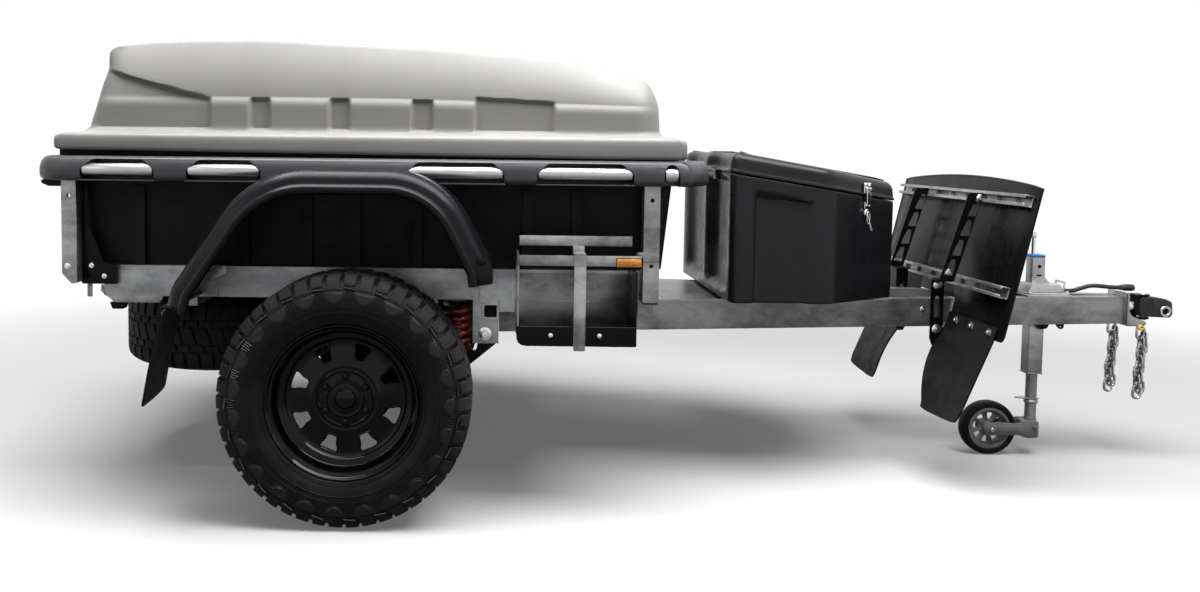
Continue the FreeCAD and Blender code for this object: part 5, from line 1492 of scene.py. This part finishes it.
    tyre = lathed([(78, -22), (80, -23), (88, -24.6), (95, -24), (99.5, -20), (101.6, -13), (102, -5), (102, 5),
                   (101.6, 13), (99.5, 20), (95, 24), (88, 24.6), (80, 23), (78, 22)], 72, "Y", JOCKEY_AXLE)
    piece("jockey_tread", tyre, "tyre", "jockey_wheel", ("jockey_tyre",))
    disc = turned([(8.3, -25), (17, -25), (20, -22), (22, -10), (26, -9), (60, -9), (64, -12), (66, -20), (68, -22.5),
                   (78, -22.5), (78.4, 22.5), (68, 22.5), (66, 20), (64, 12), (60, 9), (26, 9), (22, 10), (20, 22),
                   (17, 25), (8.3, 25)], 72)
    tool = bmesh.new()
    for k in range(8):
        hole = prism([(32, -8, 3), (57, -15, 5), (57, 15, 5), (32, 8, 3)], "Z", -14, 14, 0)
        add(tool, hole, spin(45 * k + 10))
    disc = carved(disc, tool)
    for k in range(8):
        rib_bar = block((22, 62), (-1.6, 1.6), (-13, 13), 1, 1)
        add(disc, rib_bar, spin(45 * k + 32.5))
    disc.transform(place("Y", JOCKEY_AXLE))
    piece("jockey_hub", disc, "jockey_grey", "jockey_wheel", ("jockey_rim",), sharp=32)


def link_path(x, y, top, axis):
    """The middle line of one chain link hanging from its top."""
    long, wide = 48.0, 27.0
    path = []
    for k in range(20):
        a = 2 * math.pi * k / 20
        u, v = wide / 2 * math.cos(a), wide / 2 * math.sin(a)
        v += (long - wide) / 2 * (1 if math.sin(a) > 0 else -1) if abs(math.sin(a)) > 1e-6 else 0
        path.append((x + u, y, top - long / 2 + v) if axis == "X" else (x, y + u, top - long / 2 + v))
    return path


COUPLING_Z = 571
TOW_PIN = (1969, 0, 557)
UPRIGHT_X = 1907


def coupling():
    steel = bmesh.new()
    z = COUPLING_Z
    add(steel, prism(rect((NOSE_X, 1819), (628, 505)), "Y", -62, 62, 1.2))
    add(steel, prism([(1811, 626), (1817, 612, 20), (1820, 545, 30), (1858, 530, 20), (1883, 522, 8), (1883, 511, 6),
                      (1870, 504, 5), (1811, 504)], "Y", -64, -56, 1.2))
    add(steel, prism([(1811, 626), (1817, 612, 20), (1820, 545, 30), (1847, 524, 8), (1847, 511, 6), (1838, 504, 5),
                      (1811, 504)], "Y", 56, 64, 1.2))
    piece("nose_plate", steel, "galvanised", "chassis", ("coupling_plate",))
    swivel = joined(
        (turned([(0, 0), (28, 0), (28, 4), (24, 9), (12, 9.5), (12, 29), (0, 29)], 36), place("X", (1819, 0, z))),
        (turned([(0, 0), (20, 0), (20, 6), (17, 9.5), (0, 9.5)], 6), place("X", (1850.6, 0, z))))
    piece("nose_swivel", swivel, "chrome", "chassis")

    neck = lathed([(12.3, 0), (25, 0), (28, 3), (28, 10), (24, 13), (24, 30), (27, 33), (27, 38), (12.3, 38)], 40, "X",
                  (1830, 0, z))
    piece("coupling_neck", neck, "chrome", "coupling_yoke")
    yoke = joined(
        prism(rect((-30, 30), (z - 47, z + 47), 10), "X", 1860, 1867, 1.5, 2),
        *(prism([(1860, -30, 4), (1890, -26, 10), (1925, -22, 20), (1925, 22, 20), (1890, 26, 10), (1860, 30, 4)],
            "Z", low, high, 1.6) for low, high in ((z + 40, z + 47), (z - 47, z - 40))))
    piece("coupling_fork", yoke, "guard_black", "coupling_yoke", ("coupling_yoke",))
    pin = lathed([(0, -51), (12, -51), (14, -49), (8, -46), (8, 46), (14, 48), (12, 51), (0, 51)], 24, "Z",
                 (UPRIGHT_X, 0, z))
    piece("coupling_pin", pin, "chrome", "coupling_yoke")

    block_form = prism([(1871, 553, 10), (1880, 536, 12), (1990, 532.6, 8), (2000, 546, 10), (1996, 592, 14),
                        (1972, 603, 14), (1926, 609.4, 10), (1880, 606, 12), (1871, 590, 10)], "Y", -34, 34, 5, 3)
    tool = lathed([(0, -60), (11.25, -60), (11.25, 60), (0, 60)], 32, "Y", TOW_PIN)
    add(tool, lathed([(0, -60), (9.4, -60), (9.4, 60), (0, 60)], 24, "Z", (UPRIGHT_X, 0, z)))
    # the back is rounded about the upright pin, so that it swings clear of the fork
    arc = [(UPRIGHT_X + 37 * math.cos(math.pi * k / 16), 37 * math.sin(math.pi * k / 16)) for k in range(8, 25)]
    corner = prism(rect((UPRIGHT_X, 1840), (60, -60)) + arc[::-1], "Z", 500, 640, 0)
    solid = carved(carved(block_form, tool), corner)
    for k in range(5):
        rib = prism(rect((1886 + 9 * k, 1890 + 9 * k), (609.6, 560)), "Y", -36 + 6 * (k == 0), 36 - 6 * (k == 0),
                    1.2, 1)
        hole = lathed([(0, 0), (8.4, 0), (8.4, 70), (0, 70)], 16, "Z", (UPRIGHT_X, 0, 550))
        add(solid, carved(rib, hole) if k == 2 else rib)
    piece("coupling_body", solid, "coupling_poly", "coupling_block", ("coupling_block",), sharp=30)
    bush = bmesh.new()
    for side in (-1, 1):
        ring = turned([(11.4, 30), (20, 30), (21, 33), (21, 38), (19, 40), (13, 40), (11.4, 38.5)], 40)
        add(bush, ring, place("Y" if side > 0 else "-Y", TOW_PIN))
    add(bush, turned([(11.4, -30), (13, -30), (13, 30), (11.4, 30)], 32), place("Y", TOW_PIN))
    piece("coupling_bush", bush, "chrome", "coupling_block", finish=CHAIN_STEEL)

    chain = bmesh.new()
    for side in (-1, 1):
        for strand, drop in ((0, 0), (1, 19)):
            x = (1869 if side < 0 else 1833) + (6 if strand else -6)
            y = side * 60 + (3 if strand else -3)
            for k in range(7 if strand == 0 else 6):
                top = 505 - drop - 37.2 * k
                lean = 5 * math.sin(k * 0.9 + strand * 1.5)
                axis = "X" if (k + strand) % 2 == 0 else "Y"
                add(chain, bar(link_path(x + lean, y, top, axis), 5.2, 8, closed=True))
    piece("chain_links", chain, "chrome", "chassis", ("safety_chains",), finish=CHAIN_STEEL)
    tag = lathed([(5, -5), (9.5, -5), (10.5, 0), (9.5, 5), (5, 5)], 24, "-Y", (1862, -66, 500))
    piece("chain_tag", tag, "lens", "chassis", finish=TAG_YELLOW)


CABLE_ROUTE = [(1619, 24, 622), (1650, 24, 622), (1682, 20, 634), (1714, 13, 646), (1749, 5, 645), (1784, 0, 641),
               (1815, 0, 641)]


def cable():
    curve = bpy.data.curves.new("lead", "CURVE")
    curve.dimensions = "3D"
    spline = curve.splines.new("NURBS")
    spline.points.add(len(CABLE_ROUTE) - 1)
    for spot, (x, y, z) in zip(spline.points, CABLE_ROUTE):
        spot.co = (x * MM, y * MM, z * MM, 1)
    spline.order_u = 3
    spline.use_endpoint_u = True
    spline.resolution_u = 10
    curve.bevel_depth = 0.008
    curve.bevel_resolution = 6
    curve.materials.append(FINISH["cable_black"])
    lead = bpy.data.objects.new("trailer_lead", curve)
    SCENE.collection.objects.link(lead)
    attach(lead, "chassis")
    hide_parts("trailer_cable")

    plug = lathed([(0, 0), (9, 0), (10, 4), (10.5, 14), (12.6, 17), (13, 20), (13, 44), (12.4, 47), (11.2, 48),
                   (11.2, 52), (9.5, 52), (9.5, 46), (0, 46)], 36, "X", CABLE_ROUTE[-1])
    piece("trailer_plug_body", plug, "coupling_poly", "chassis", ("trailer_plug",))
    relief = lathed([(8.3, 0), (10.2, 0), (9.4, 12), (8.6, 24), (8.3, 24)], 24, "X", CABLE_ROUTE[0])
    add(relief, turned([(0, -18), (8.6, -18), (9, -16), (9, 0), (8.5, 1), (0, 1)], 6), place("X", CABLE_ROUTE[0]))
    piece("lead_gland", relief, "coupling_poly", "chassis", ("cable_gland",))


# soft lamps: name, place, what it looks at, power, width and height
LAMPS = (
    ("overhead", (-0.3, -0.8, 3.6), (-0.25, -0.6, 0.4), 345, 5.0, 1.9),
    ("strip", (-0.4, -1.9, 3.3), (-0.3, -0.6, 0.6), 30, 4.6, 0.12),
    ("rear_soft", (-4.2, -3.0, 2.4), (-0.2, 0, 0.6), 9, 1.2, 1.2),
    ("nose_soft", (4.5, -1.5, 2.8), (0.4, 0, 0.6), 10, 2.5, 2.0),
)
CAMERA_AT = (-0.545, -3.898, 1.141)
CAMERA_YAW, CAMERA_PITCH, CAMERA_ROLL = math.radians(0.47), math.radians(3.55), math.radians(0.61)
CAMERA_SENSOR, CAMERA_LENS = 36, 31.02
CAMERA_SHIFT = (0.0948, -0.0699)


def stage():
    """Pale floor that keeps a soft shadow, plain soft lamps and the camera."""
    world = bpy.data.worlds.new("studio")
    SCENE.world = world
    world.use_nodes = True
    tree = world.node_tree
    back = tree.nodes["Background"]
    back.inputs["Color"].default_value = (1, 1, 1, 1)
    path = tree.nodes.new("ShaderNodeLightPath")
    seen = tree.nodes.new("ShaderNodeMath")
    seen.operation = "ADD"
    tree.links.new(path.outputs["Is Camera Ray"], seen.inputs[0])
    tree.links.new(path.outputs["Is Transmission Ray"], seen.inputs[1])
    shown = tree.nodes.new("ShaderNodeMath")
    shown.operation = "ADD"
    shown.use_clamp = True
    tree.links.new(seen.outputs[0], shown.inputs[0])
    tree.links.new(path.outputs["Is Glossy Ray"], shown.inputs[1])
    level = tree.nodes.new("ShaderNodeMapRange")
    level.inputs["To Min"].default_value = 0.07
    level.inputs["To Max"].default_value = 1.0
    tree.links.new(shown.outputs[0], level.inputs["Value"])
    tree.links.new(level.outputs[0], back.inputs["Strength"])

    mesh = bpy.data.meshes.new("floor")
    mesh.from_pydata([(-60, -60, 0), (60, -60, 0), (60, 60, 0), (-60, 60, 0)], [], [(0, 1, 2, 3)])
    floor = bpy.data.objects.new("floor", mesh)
    SCENE.collection.objects.link(floor)
    made = Finish("floor", (0.34, 0.34, 0.34), rough=0.9, Specular_IOR_Level=0.0)
    # the floor fades into the white surround away from the trailer
    spread = made.add("ShaderNodeVectorMath", operation="LENGTH")
    made.link(made.place, spread.inputs[0])
    far = made.levels(spread.outputs["Value"], 1.9, 5.0)
    rays = made.add("ShaderNodeLightPath")
    ground = made.blend(rays.outputs["Is Camera Ray"], (0.12, 0.12, 0.12), (0.6, 0.6, 0.6))
    made.colour(made.blend(far, ground, (0.0, 0.0, 0.0)))
    seen = made.math("ADD", rays.outputs["Is Camera Ray"], rays.outputs["Is Transmission Ray"])
    seen = made.math("MINIMUM", made.math("ADD", seen, rays.outputs["Is Glossy Ray"]), 1.0)
    made.shader.inputs["Emission Color"].default_value = (1, 1, 1, 1)
    made.link(made.math("MULTIPLY", seen, made.levels(far, 0, 1, 0.12, 1.0)), made.shader.inputs["Emission Strength"])
    mesh.materials.append(made.mat)

    for name, spot, aim, power, wide, tall in LAMPS:
        lamp = bpy.data.lights.new(name, "AREA")
        lamp.shape = "RECTANGLE"
        lamp.size = wide
        lamp.size_y = tall
        lamp.energy = power
        holder = bpy.data.objects.new(name, lamp)
        holder.location = spot
        holder.rotation_euler = (Vector(aim) - Vector(spot)).to_track_quat("-Z", "Y").to_euler()
        SCENE.collection.objects.link(holder)

    ahead = Vector((-math.sin(CAMERA_YAW), math.cos(CAMERA_YAW), 0))
    right = Vector((math.cos(CAMERA_YAW), math.sin(CAMERA_YAW), 0))
    up = Vector((0, 0, 1))
    view = ahead * math.cos(CAMERA_PITCH) - up * math.sin(CAMERA_PITCH)
    up = up * math.cos(CAMERA_PITCH) + ahead * math.sin(CAMERA_PITCH)
    side = right * math.cos(CAMERA_ROLL) + up * math.sin(CAMERA_ROLL)
    up = up * math.cos(CAMERA_ROLL) - right * math.sin(CAMERA_ROLL)
    lens_data = bpy.data.cameras.new("camera")
    lens_data.sensor_width = CAMERA_SENSOR
    lens_data.lens = CAMERA_LENS
    lens_data.shift_x, lens_data.shift_y = CAMERA_SHIFT
    camera = bpy.data.objects.new("camera", lens_data)
    camera.matrix_world = Matrix.Translation(CAMERA_AT) @ Matrix((side, up, -view)).transposed().to_4x4()
    SCENE.collection.objects.link(camera)
    SCENE.camera = camera
    SCENE.view_settings.view_transform = "Standard"


stage()
for make in (cable, lid, wheels, rim, mudguards, toolbox, guard, can_carriers, chassis_details, springs, jockey,
             coupling):
    make()
